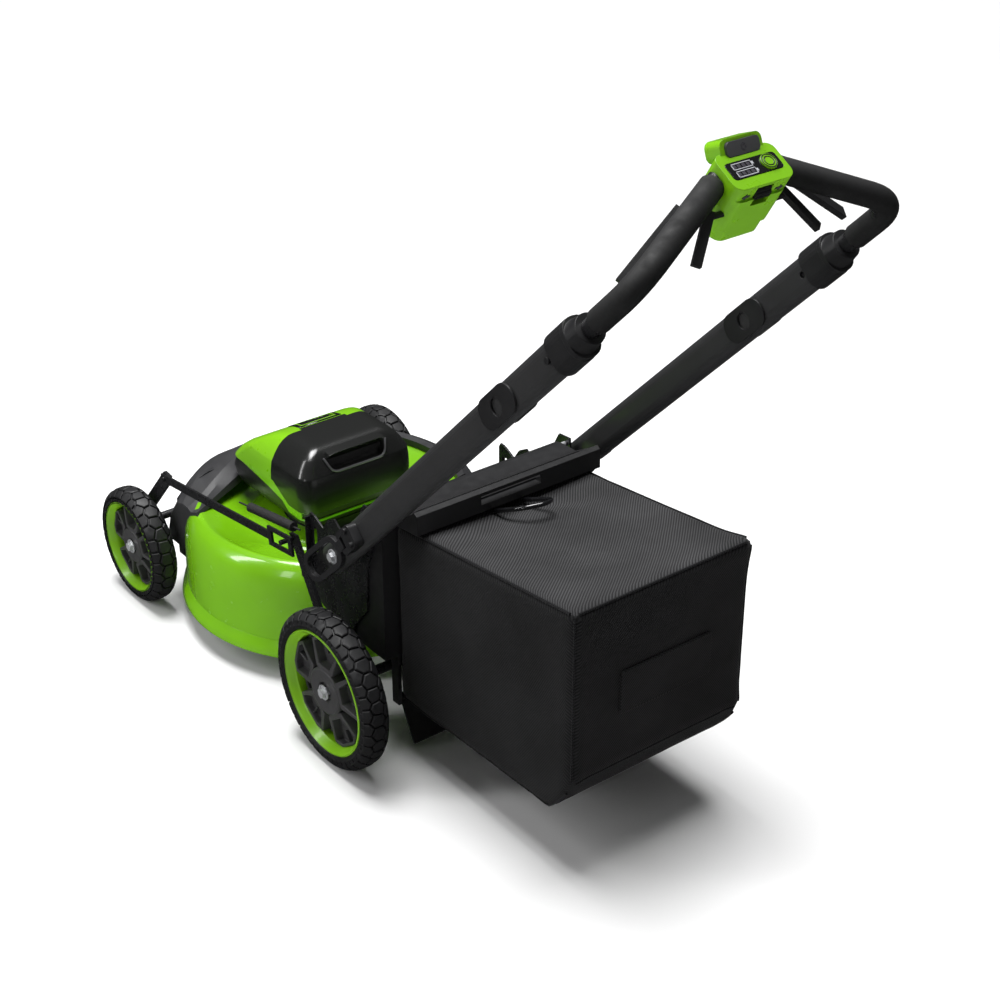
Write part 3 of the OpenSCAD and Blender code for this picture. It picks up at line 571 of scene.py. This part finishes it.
def make_spokes(name, centre, radius, side):
    """The five-lobed insert: a flat hub disc and five box lobes, each with a deep pocket and a rib."""
    reach = radius * 0.705
    hub = radius * 0.3
    h = TYRE_W / 2
    face = h - 9
    back = -(h - 8)
    bm = bmesh.new()
    bore = 7
    disc = [(bore, face - 5), (radius * 0.11, face - 5), (radius * 0.125, face + 0.2), (hub * 0.94, face + 1),
            (hub * 1.03, face - 1), (hub * 1.05, -(h - 6)), (bore, -(h - 6))]
    lathe(bm, [(r, side * x) for r, x in disc], centre, "x", 56)
    ring = [(reach * 0.93, -4), (reach, -4), (reach, -(h - 8)), (reach * 0.93, -(h - 8))]
    lathe(bm, [(r, side * x) for r, x in ring], centre, "x", 72)
    half_in = radius * 0.16
    half_out = radius * 0.275
    wall = radius * 0.05
    pocket_depth = 15
    front = [face - 0.5, face - 3.5, face - 4.5, face - 4.5, face - 3.5, face - 0.5]
    outline = [(hub * 0.96, -half_in), (reach * 0.86, -half_out), (reach * 0.985, -half_out * 0.6),
               (reach * 0.985, half_out * 0.6), (reach * 0.86, half_out), (hub * 0.96, half_in)]
    pocket = [(hub + wall, -half_in + wall * 1.1), (reach * 0.84, -half_out + wall),
              (reach * 0.93, -half_out * 0.52), (reach * 0.93, half_out * 0.52),
              (reach * 0.84, half_out - wall), (hub + wall, half_in - wall * 1.1)]
    for k in range(5):
        turn = math.tau * (k + 0.25) / 5

        def place(along, across, depth, turn=turn):
            r = Vector((side * depth, along * math.cos(turn) - across * math.sin(turn),
                        along * math.sin(turn) + across * math.cos(turn)))
            return r + Vector(centre)

        n = len(outline)
        rim_top = [bm.verts.new(place(u, v, w)) for (u, v), w in zip(outline, front)]
        rim_in = [bm.verts.new(place(u, v, w)) for (u, v), w in zip(pocket, front)]
        floor = [bm.verts.new(place(u, v * 0.94, face - pocket_depth)) for u, v in pocket]
        low = [bm.verts.new(place(u, v, back)) for u, v in outline]
        for i in range(n):
            j = (i + 1) % n
            bm.faces.new((rim_top[i], rim_top[j], rim_in[j], rim_in[i]))
            bm.faces.new((rim_in[i], rim_in[j], floor[j], floor[i]))
            bm.faces.new((rim_top[j], rim_top[i], low[i], low[j]))
        bm.faces.new(floor)
        bm.faces.new(low[::-1])
        rib = [(reach * 0.72, -1.3), (reach * 0.95, -1.3), (reach * 0.95, 1.3), (reach * 0.72, 1.3)]
        extrude_outline(bm, rib, (face - pocket_depth - 1, face - 8), place)
    obj = finish_piece(bm, name + "_spokes_mesh", spoke_grey, name + "_wheel",
                       (name + "_spokes",), 30)
    return soften(obj, 2.0, 3)


def make_wheels():
    seed = 3
    for axle, y, diameter in (("front", FRONT_AXLE_Y, 203), ("rear", REAR_AXLE_Y, 254)):
        for hand, sign in (("left", 1), ("right", -1)):
            name = f"{axle}_{hand}"
            centre = (sign * WHEEL_X, y, diameter / 2)
            make_tyre(name, centre, diameter / 2, seed)
            make_rim(name, centre, diameter / 2, sign)
            make_spokes(name, centre, diameter / 2, sign)
            seed += 1


# ---- deck ----

def make_deck():
    """Pressed deck: hem band, round shoulder, creased top and a stepped dish round the motor."""
    hem = [(0, 1), (1.2, 4), (0, 9), (-2, 17), (-6.5, 24), (-8, 28)]
    wall = [(-8.5, 70), (-9, 105), (-10, 140), (-12.5, 162), (-16.5, 180), (-22, 193), (-29, 201.5),
            (-37, 205.8)]
    dish = [(-41, 205), (-46, 202.5), (-60, 196.5), (-75, 190), (-90, 184), (-102, 179.5), (-112, 176.5),
            (-119, 175.5)]
    steps = [(136, 175.5), (133, 178.5), (130, 179.2), (122, 179.2), (119, 182), (116, 182.6), (104, 182.6),
             (100, 184.5), (80, 184.5)]
    chute_half = 92
    chute_top = 184
    outer = [(DECK_R + r, HEM_Z + z) for r, z in hem] + [(DECK_R + r, z) for r, z in wall + dish] + steps
    inner = [(r - 2.4, z - 3) for r, z in outer[::-1]]
    inner[-1] = (DECK_R - 2.4, HEM_Z + 1)
    bm = bmesh.new()
    lathe(bm, outer + inner, (0, DECK_Y, 0), "z", 144)
    # the chute's outlet at the back
    keep(bm, lambda c: not (abs(c.x) < chute_half and c.y > DECK_Y + 150 and HEM_Z + 40 < c.z < chute_top))
    return finish_piece(bm, "deck_mesh", paint, "chassis", ("deck",), 50)


# ---- shroud ----

def make_hood():
    """Dark raised hood over the deck's front: a high middle that falls to both sides, with side walls."""
    half = 212
    rear_line = ((0, -500), (60, -480), (85, -467), (146, -436), (205, -405), (213, -402))
    floor = 118
    bm = bmesh.new()
    rows = []
    slices = 44
    for i in range(slices + 1):
        x = -half + 2 * half * i / slices
        a = abs(x) / half
        for (x0, y0), (x1, y1) in zip(rear_line, rear_line[1:]):
            if x0 <= abs(x) <= x1:
                rear = y0 + (y1 - y0) * (abs(x) - x0) / (x1 - x0)
        fall = min(1.0, max(0.0, (a - 0.4) / 0.6))
        top = 226 - 20 * fall * fall * (3 - 2 * fall)
        front = -594 + 80 * a ** 3.2
        section = [(rear, 203), (rear - 4, 210 + 0.3 * (top - 207)), (rear - 22, top - 4), (rear - 34, top),
                   (front + 62, top), (front + 44, top - 6), (front + 14, top - 44), (front + 4, top - 74),
                   (front, floor)]
        rows.append([bm.verts.new((x, y, z)) for y, z in section])
        if i in (0, slices):
            wall = [bm.verts.new((x * 1.01, y, floor)) for y, _ in section]
            rows[-1:] = [wall, rows[-1]] if i == 0 else [rows[-1], wall]
    grid_faces(bm, rows, wrap_columns=False)
    hood = finish_piece(bm, "shroud_hood", hood_grey, "chassis", (), 22)
    soften(thicken(hood, 3), 2.2, 3, 20)


# ---- housing ----

HOUSING_RINGS = [
    # height, front, back, half width, corner radius
    (206, -470, -246, 94, 34),
    (214, -477, -240, 100, 32),
    (226, -481, -235, 105, 30),
    (240, -481, -233, 107, 28),
    (264, -468, -234, 108, 27),
    (284, -447, -235, 107, 26),
    (298, -427, -237, 105, 24),
    (301, -422, -238, 104, 23),
    (313, -402, -245, 97, 20),
    (324, -382, -252, 89, 17),
    (330, -368, -257, 82, 14),
    (334, -352, -262, 75, 12),
    (337, -338, -268, 68, 10),
    (338.5, -326, -276, 58, 7),
]


def housing_shell(grow):
    """The outer skin of the housing, grown by a few millimetres."""
    bm = bmesh.new()
    rows = []
    for z, front, back, half, radius in HOUSING_RINGS:
        corner = max(2, min(radius + grow, (back - front) / 2 + grow - 0.5))
        outline = rounded_rectangle(2 * (half + grow), back - front + 2 * grow, corner, 9)
        middle = (front + back) / 2
        lift = grow if z > 230 else 0
        rows.append([bm.verts.new((u, middle + v, z + lift * (z - 206) / 132)) for u, v in outline])
    grid_faces(bm, rows)
    bm.faces.new(rows[-1])
    return bm


def cut(bm, point, normal):
    """Splits the faces that a plane crosses."""
    everything = bm.verts[:] + bm.edges[:] + bm.faces[:]
    bmesh.ops.bisect_plane(bm, geom=everything, plane_co=point, plane_no=normal, dist=0.0001)


def keep(bm, test):
    """Deletes the faces whose middle fails the test."""
    bmesh.ops.delete(bm, geom=[f for f in bm.faces if not test(f.calc_center_median())], context="FACES")


# the green cowl starts above this line on each side: (y, z) points
BAND_LINE = ((-500, 264), (-425, 262), (-348, 250), (-306, 241), (-290, 224), (-200, 222))
COVER_FRONT = -336
COVER_LOW = 241
# the band is cut off here, where the open cover would meet it
BAND_TOP = 266
# the cover's lower front corner is cut off at a slant
CORNER_Y = -286
CORNER_TOP = 268
CORNER_SLOPE = 0.62
# the cover's middle reaches further forward
TONGUE = 9
TONGUE_HALF = 44
BACK_WALL_Z = 228


def band_height(y):
    """Height of the cowl's lower line at y."""
    for (y0, z0), (y1, z1) in zip(BAND_LINE, BAND_LINE[1:]):
        if y0 <= y <= y1:
            return z0 + (z1 - z0) * (y - y0) / (y1 - y0)
    return BAND_LINE[-1][1]


def in_cover(c):
    """Whether a point of the skin belongs to the battery cover."""
    if c.z < COVER_LOW:
        return False
    if c.z < CORNER_TOP and c.y < CORNER_Y and c.z - COVER_LOW < (CORNER_Y - c.y) * CORNER_SLOPE:
        return False
    return c.y > (COVER_FRONT - TONGUE if abs(c.x) < TONGUE_HALF else COVER_FRONT)


def in_cowl(c):
    """Whether a point of the skin belongs to the green cowl."""
    behind_cover = c.y > -262 and c.z > BACK_WALL_Z and abs(c.x) < 104
    return not in_cover(c) and c.z > band_height(c.y) and not behind_cover


def cut_all(bm):
    """Cuts the skin along every border between its pieces."""
    for (y0, z0), (y1, z1) in zip(BAND_LINE, BAND_LINE[1:]):
        cut(bm, (0, y0, z0), Vector((0, z0 - z1, y1 - y0)))
    cut(bm, (0, COVER_FRONT, 0), (0, 1, 0))
    cut(bm, (0, COVER_FRONT - TONGUE, 0), (0, 1, 0))
    cut(bm, (0, 0, COVER_LOW), (0, 0, 1))
    cut(bm, (0, 0, BACK_WALL_Z), (0, 0, 1))
    cut(bm, (0, CORNER_Y, COVER_LOW), Vector((0, CORNER_SLOPE, 1)))
    cut(bm, (0, 0, CORNER_TOP), (0, 0, 1))
    cut(bm, (0, CORNER_Y, 0), (0, 1, 0))
    for x in (-TONGUE_HALF, TONGUE_HALF):
        cut(bm, (x, 0, 0), (1, 0, 0))


def skin_patch(grow, half, front, back):
    """The part of the housing's top skin inside a rectangle."""
    bm = housing_shell(grow)
    for x in (-half, half):
        cut(bm, (x, 0, 0), (1, 0, 0))
    for y in (front, back):
        cut(bm, (0, y, 0), (0, 1, 0))
    keep(bm, lambda c: abs(c.x) < half and front < c.y < back and c.z > 270)
    return bm


def make_cowl():
    bm = housing_shell(0)
    cut_all(bm)
    keep(bm, in_cowl)
    cowl = finish_piece(bm, "cowl_mesh", green_plastic, "chassis", ("motor_housing",), 28)
    soften(thicken(cowl, 2.6), 0.9, 2, 50)


def make_band():
    """Black lower band, with the dark zone under the cover."""
    bm = housing_shell(-2.2)
    cut_all(bm)
    cut(bm, (0, 0, BAND_TOP), (0, 0, 1))
    keep(bm, lambda c: not in_cover(c) and c.z < BAND_TOP)
    band = finish_piece(bm, "housing_band", black_plastic, "chassis", ("housing_panels",), 28)
    thicken(band, 2)


def make_cover():
    """Battery cover with a hand recess at its back, and a bright lip round the recess."""
    bm = housing_shell(0.8)
    cut_all(bm)
    recess_half = 56
    recess_low = 303
    recess_high = 326
    for x in (-recess_half, recess_half):
        cut(bm, (x, 0, 0), (1, 0, 0))
    for z in (recess_low, recess_high):
        cut(bm, (0, 0, z), (0, 0, 1))
    keep(bm, in_cover)
    middles = [(f, f.calc_center_median()) for f in bm.faces]
    grip = [f for f, c in middles if abs(c.x) < recess_half and recess_low < c.z < recess_high and c.y > -285]
    bmesh.ops.inset_region(bm, faces=grip, thickness=2.5, depth=1.4)
    bm.normal_update()
    bmesh.ops.inset_region(bm, faces=grip, thickness=2.5, depth=-11.0)
    cover = finish_piece(bm, "cover_mesh", smoked_plastic, "cover", ("battery_cover",), 26)
    soften(thicken(cover, 3), 1.0, 2, 50)
    lip = [(60, -250, recess_high), (50, -236.5, recess_low), (-50, -236.5, recess_low),
           (-60, -250, recess_high)]
    bm = bmesh.new()
    tube(bm, round_path(lip, 12, 8), 2.0, 10)
    finish_piece(bm, "cover_lip", lip_grey, "cover")


def make_display():
    """Display on the cowl, and the thin green frame on it."""
    bm = skin_patch(0.9, 41, -385, -349)
    display = finish_piece(bm, "display_mesh", black_gloss, "chassis", ("display_panel",), 30)
    thicken(display, 1.4)
    inner_half = 31.5
    inner_front = -377.5
    inner_back = -356.5
    bm = skin_patch(1.3, 34, -380, -354)
    for x in (-inner_half, inner_half):
        cut(bm, (x, 0, 0), (1, 0, 0))
    for y in (inner_front, inner_back):
        cut(bm, (0, y, 0), (0, 1, 0))
    keep(bm, lambda c: not (abs(c.x) < inner_half and inner_front < c.y < inner_back))
    thicken(finish_piece(bm, "display_frame", green_plastic, "chassis", (), 30), 0.6)


# ---- grass bag ----

BAG_HALF = 158
BAG_ROUND = 13


def bag_low(y):
    """Height of the bag's bottom at y: level, then cut off at an angle to the rear."""
    return 92 + 10 * (y - BAG_FRONT) / 400 + 62 * max(0.0, (y - (BAG_BACK - 52)) / 52) ** 1.3


def bag_high(y):
    return 397 + 44 * (y - BAG_FRONT) / 402


def bag_point(s, t, u):
    """The place of a point of the unit cube on the bag: s across, t along, u up, each -1..1."""
    half_y = (BAG_BACK - BAG_FRONT) / 2
    middle_y = (BAG_BACK + BAG_FRONT) / 2
    y = middle_y + t * half_y
    low, high = bag_low(y), bag_high(y)
    half_z = (high - low) / 2
    half = Vector((BAG_HALF, half_y, half_z))
    p = Vector((s * BAG_HALF, t * half_y, u * half_z))
    core = Vector([max(-h + BAG_ROUND, min(h - BAG_ROUND, c)) for c, h in zip(p, half)])
    out = p - core
    if out.length > 0:
        p = core + out.normalized() * BAG_ROUND
    # cloth hangs in on top, bellies out at the sides, with a few soft creases
    across, along, up = 1 - s * s, 1 - t * t, 1 - u * u
    if abs(u) == 1 and u > 0:
        p.z -= 9 * across * along
        p.z -= 5 * math.exp(-((t + 0.62 - 0.35 * abs(s)) / 0.1) ** 2) * across ** 0.5 * along ** 0.3
    if abs(s) == 1:
        p.x += math.copysign(3.5 * along * up, s)
    if abs(t) == 1:
        p.y += math.copysign(2.5 * across * up, t)
    ripple = noise.noise(Vector((p.x, p.y, p.z)) * 0.011) * 2.4
    if out.length > 0:
        p -= out.normalized() * abs(ripple) * min(1.0, 3 * (across + along + up - 1))
    return p + Vector((0, middle_y, (high + low) / 2))


def seam(name, points, radius):
    bm = bmesh.new()
    tube(bm, points, radius, 8)
    return finish_piece(bm, name, piping, "bag")


def make_bag_seams():
    """Piping along the bag's edges, doubled at its rear corners."""
    steps = [-0.94 + 1.88 * i / 40 for i in range(41)]
    trims = []
    for hand, s in (("left", 1), ("right", -1)):
        trims.append(seam(f"bag_seam_top_{hand}", [bag_point(s, t, 1) for t in steps], 2.0))
        trims.append(seam(f"bag_seam_low_{hand}", [bag_point(s, t, -1) for t in steps], 1.8))
        for offset in (0, 6.5):
            line = [bag_point(s, 1, u) - Vector((s * offset, -0.6 * offset / 6.5, 0)) for u in steps]
            trims.append(seam(f"bag_seam_corner_{hand}_{int(offset)}", line, 1.5))
    for end, t in (("rear", 1), ("front", -1)):
        trims.append(seam(f"bag_seam_{end}_top", [bag_point(s, t, 1) for s in steps], 2.0))
        trims.append(seam(f"bag_seam_{end}_low", [bag_point(s, t, -1) for s in steps], 1.8))
    return trims


def make_bag():
    """The bag as one rounded shell of cloth with a mouth at the front."""
    mouth_half = 0.7
    mouth_reach = 0.62
    bm = bmesh.new()
    bmesh.ops.create_cube(bm, size=2)
    bmesh.ops.subdivide_edges(bm, edges=bm.edges[:], cuts=27, use_grid_fill=True)
    for f in bm.faces:
        # faces on top get the lighter cloth, a painted highlight of the light from above
        f.material_index = 1 if f.calc_center_median().z > 0.999 else 0
    keep(bm, lambda c: not (c.y < -0.999 and abs(c.x) < mouth_half and abs(c.z) < mouth_reach))
    for v in bm.verts:
        v.co = bag_point(*v.co)
    bag = finish_piece(bm, "bag_shell", [bag_cloth, bag_top_cloth_painted_light], "bag", ("grass_bag",), 60)
    thicken(bag, 0.8)
    trims = make_bag_seams()


def rear_cloth(x):
    """Y of the bag's rear cloth at x, a little above its middle."""
    return bag_point(x / BAG_HALF, 1, 0.05).y


def make_bag_patch():
    """Stitched patch on the rear face."""
    outline = split_edges(rounded_rectangle(164, 68, 5, 3), 12)
    bm = bmesh.new()
    extrude_outline(bm, outline, (0, 4.6), lambda u, v, w: Vector((u - 4, rear_cloth(u) + w - 0.6, v + 289)))
    patch = finish_piece(bm, "bag_patch", bag_cloth, "bag", (), 50)
    soften(patch, 1.2, 2)
    for k in range(26):
        bm = bmesh.new()
        x = -80 + 6.1 * k
        y = rear_cloth(x) + 2.9
        for z in (260, 318):
            tube(bm, [(x - 1.5, y, z), (x + 1.8, y, z)], 0.5, 6)
        finish_piece(bm, f"bag_stitch_{k}", piping, "bag")


def make_bag_strap():
    """Lifting strap on top."""
    y = BAG_FRONT + 88
    base = 402
    points = [(30, y - 18, base + 1), (18, y + 30, base + 22), (-12, y + 46, base + 27),
              (-34, y + 36, base + 22), (-22, y - 16, base + 3)]
    bm = bmesh.new()
    tube(bm, round_path(points, 16, 8), 3.6, 12)
    finish_piece(bm, "bag_strap", black_gloss, "bag", ("bag_handle",))


# ---- handle and controls ----

HEAD_ORIGIN = RAIL_FOOT + RAIL_DIR * 906 + Vector((-208, -72 + 24, 82 - 18))
HEAD_TILT = math.radians(31)
HEAD_TOP = 20
START_TILT = math.radians(38)


def on_head(x, y, z):
    """A point given on the control head: z out of its face, y down towards the thumb wheel."""
    c, s = math.cos(HEAD_TILT), math.sin(HEAD_TILT)
    return HEAD_ORIGIN + Vector((x, y * c + z * s, -y * s + z * c))


def on_start(x, y, z):
    """A point given on the start button's tilted face."""
    c, s = math.cos(START_TILT), math.sin(START_TILT)
    return on_head(x, -29 + y * c + z * s, 21 - y * s + z * c)


def head_mark(name, outlines, place, depth, material, body):
    bm = bmesh.new()
    for outline in outlines:
        extrude_outline(bm, outline, depth, place)
    return finish_piece(bm, name, material, body, (), 40)


def frame_outline(width, height, x, y, line):
    """Four bars round a rectangle."""
    w, h = width / 2, height / 2
    bars = [((-w, -h), (w, -h + line)), ((-w, h - line), (w, h)), ((-w, -h), (-w + line, h)),
            ((w - line, -h), (w, h))]
    return [[(x + a, y + b), (x + c, y + b), (x + c, y + d), (x + a, y + d)] for (a, b), (c, d) in bars]


def make_head_marks():
    """Plain icons: two battery frames, a power ring, two arrows and a ring on the boost button."""
    mark = moulded("mark_white", (0.55, 0.56, 0.6), 0.4, 900, 0.00002)
    dark = moulded("mark_dark", (0.05, 0.045, 0.06), 0.4, 900, 0.00002)
    deck = HEAD_TOP - 1.4
    outlines = frame_outline(30, 9, 16, -6, 1.1) + frame_outline(30, 9, 16, 5, 1.1)
    for y in (-6, 5):
        outlines.append([(-1.5, y - 2), (1, y - 2), (1, y + 2), (-1.5, y + 2)])
    head_mark("label_icons", outlines, on_head, (deck, deck + 0.5), mark, "upper_handle")
    cells = []
    for y in (-6, 5):
        cells += [[(x, y - 2.6), (x + 5, y - 2.6), (x + 5, y + 2.6), (x, y + 2.6)] for x in (4, 11, 18, 25)]
    head_mark("label_cells", cells, on_head, (deck, deck + 0.3), dark, "upper_handle")
    arrows = []
    for side in (-1, 1):
        arrows.append([(side * 33, 0), (side * 26, -5), (side * 26, 5)])
        arrows.append([(side * 26, -1.8), (side * 20, -1.8), (side * 20, 1.8), (side * 26, 1.8)])
    head_mark("speed_arrows", arrows, lambda u, v, w: on_head(u, 26 + w, 3 - v), (0, 0.6), dark,
              "upper_handle")
    # power ring and bar
    ring = []
    for k in range(20):
        a0 = math.radians(30 + k * 15)
        a1 = math.radians(30 + (k + 1) * 15)
        corners = ((4.2, a0), (4.2, a1), (3.2, a1), (3.2, a0))
        ring.append([(r * math.sin(a), -r * math.cos(a)) for r, a in corners])
    ring.append([(-0.5, -5), (0.5, -5), (0.5, -0.6), (-0.5, -0.6)])
    head_mark("power_icon", ring, on_start, (3.4, 3.9), dark, "start")
    # raised ring on the boost button
    bm = bmesh.new()
    for radius in (9.6, 6.4):
        angles = [math.tau * k / 48 for k in range(48)]
        rim = [(radius * math.cos(a), radius * math.sin(a)) for a in angles]
        loop = [on_head(-22 + x, -1 + y, HEAD_TOP + 0.4) for x, y in rim]
        tube(bm, loop, 0.8, 8, closed=True)
    finish_piece(bm, "boost_ring", black_plastic, "boost")


# ---- foam grips ----

def make_grips():
    """Foam sleeves over both arms of the upper handle, bent once, with rounded ends."""
    foam_radius = 16
    bend = 62
    start = RAIL_FOOT + RAIL_DIR * 817
    corner = RAIL_FOOT + RAIL_DIR * 906
    apex = Vector((0, corner.y - 72, corner.z + 82))
    bm = bmesh.new()
    for side in (-1, 1):
        a = Vector((side * start.x, start.y, start.z))
        c = Vector((side * corner.x, corner.y, corner.z))
        end = apex + (c - apex).normalized() * 54
        path = round_path([a, c, end], bend, 18)
        first = (path[1] - path[0]).normalized()
        last = (path[-2] - path[-1]).normalized()
        ends = ((0, 13.4), (0.7, 15.2), (2.4, foam_radius))
        points = [a + first * d for d, _ in ends] + path[1:-1] + [end + last * d for d, _ in ends[::-1]]
        radii = [r for _, r in ends] + [foam_radius] * (len(path) - 2) + [r for _, r in ends[::-1]]
        tube(bm, points, radii, 32)
    grips = finish_piece(bm, "grip_foam", foam, "upper_handle", ("foam_grips",), 60)


# ---- stage, light and camera ----

def area_light(name, place, target, size, power):
    data = bpy.data.lights.new(name, "AREA")
    data.shape = "RECTANGLE"
    data.size, data.size_y = size
    data.energy = power
    obj = bpy.data.objects.new(name, data)
    bpy.context.scene.collection.objects.link(obj)
    obj.location = place
    obj.rotation_euler = (Vector(target) - Vector(place)).to_track_quat("-Z", "Y").to_euler()


def make_floor():
    mesh = bpy.data.meshes.new("floor")
    mesh.from_pydata([(-14, -14, 0), (14, -14, 0), (14, 14, 0), (-14, 14, 0)], [], [(0, 1, 2, 3)])
    floor = bpy.data.objects.new("floor", mesh)
    bpy.context.scene.collection.objects.link(floor)
    material, tree, shader, coords = new_material("floor")
    white = ramp(tree, noise_node(tree, coords, 0.7, 2), (0.9, 0.9, 0.9), (0.93, 0.93, 0.93))
    tree.links.new(white, shader.inputs["Base Color"])
    shader.inputs["Roughness"].default_value = 0.9
    shader.inputs["Specular IOR Level"].default_value = 0.1
    mesh.materials.append(material)
    floor.visible_glossy = False


def make_world():
    """White to the camera, and a weak glow that grows with height to everything else."""
    world = bpy.data.worlds.new("studio")
    world.use_nodes = True
    tree = world.node_tree
    tree.nodes["Background"].inputs["Color"].default_value = (1, 1, 1, 1)
    split = tree.nodes.new("ShaderNodeSeparateXYZ")
    tree.links.new(tree.nodes.new("ShaderNodeTexCoord").outputs["Generated"], split.inputs["Vector"])
    glow = tree.nodes.new("ShaderNodeMapRange")
    glow.inputs["From Min"].default_value = -0.05
    glow.inputs["From Max"].default_value = 0.9
    glow.inputs["To Min"].default_value = 0.03
    glow.inputs["To Max"].default_value = 0.1
    tree.links.new(split.outputs["Z"], glow.inputs["Value"])
    seen = tree.nodes.new("ShaderNodeMath")
    seen.operation = "MAXIMUM"
    tree.links.new(glow.outputs["Result"], seen.inputs[0])
    tree.links.new(tree.nodes.new("ShaderNodeLightPath").outputs["Is Camera Ray"], seen.inputs[1])
    tree.links.new(seen.outputs["Value"], tree.nodes["Background"].inputs["Strength"])
    bpy.context.scene.world = world


def make_lights():
    sun = bpy.data.lights.new("sun", "SUN")
    sun.energy = 3.15
    sun.angle = math.radians(36)
    lamp = bpy.data.objects.new("sun", sun)
    bpy.context.scene.collection.objects.link(lamp)
    lamp.rotation_euler = Vector((0.16, 0.3, -2.2)).to_track_quat("-Z", "Y").to_euler()
    area_light("strip", (2.6, -1.4, 2.2), (0, -0.3, 0.2), (0.5, 2.6), 42)
    area_light("side", (3.0, 0.9, 1.5), (0, 0, 0.3), (0.5, 1.2), 7)
    area_light("top", (0.2, -0.5, 2.6), (0, -0.3, 0.3), (1.4, 0.7), 30)


def make_camera():
    data = bpy.data.cameras.new("camera")
    data.lens = 69.876
    data.sensor_width = 36
    camera = bpy.data.objects.new("camera", data)
    bpy.context.scene.collection.objects.link(camera)
    camera.location = (1.520, 2.036 + REAR_AXLE_Y * MM, 1.784)
    camera.rotation_euler = (math.radians(90 - 29.23), 0, math.radians(142.12))
    bpy.context.scene.camera = camera


make_camera()
make_floor()
make_world()
make_lights()
bpy.context.scene.view_settings.view_transform = "Standard"
dress_cad_nodes()
make_wheels()
make_deck()
make_hood()
make_cowl()
make_band()
make_cover()
make_display()
make_bag()
make_bag_patch()
make_bag_strap()
make_head_marks()
make_grips()
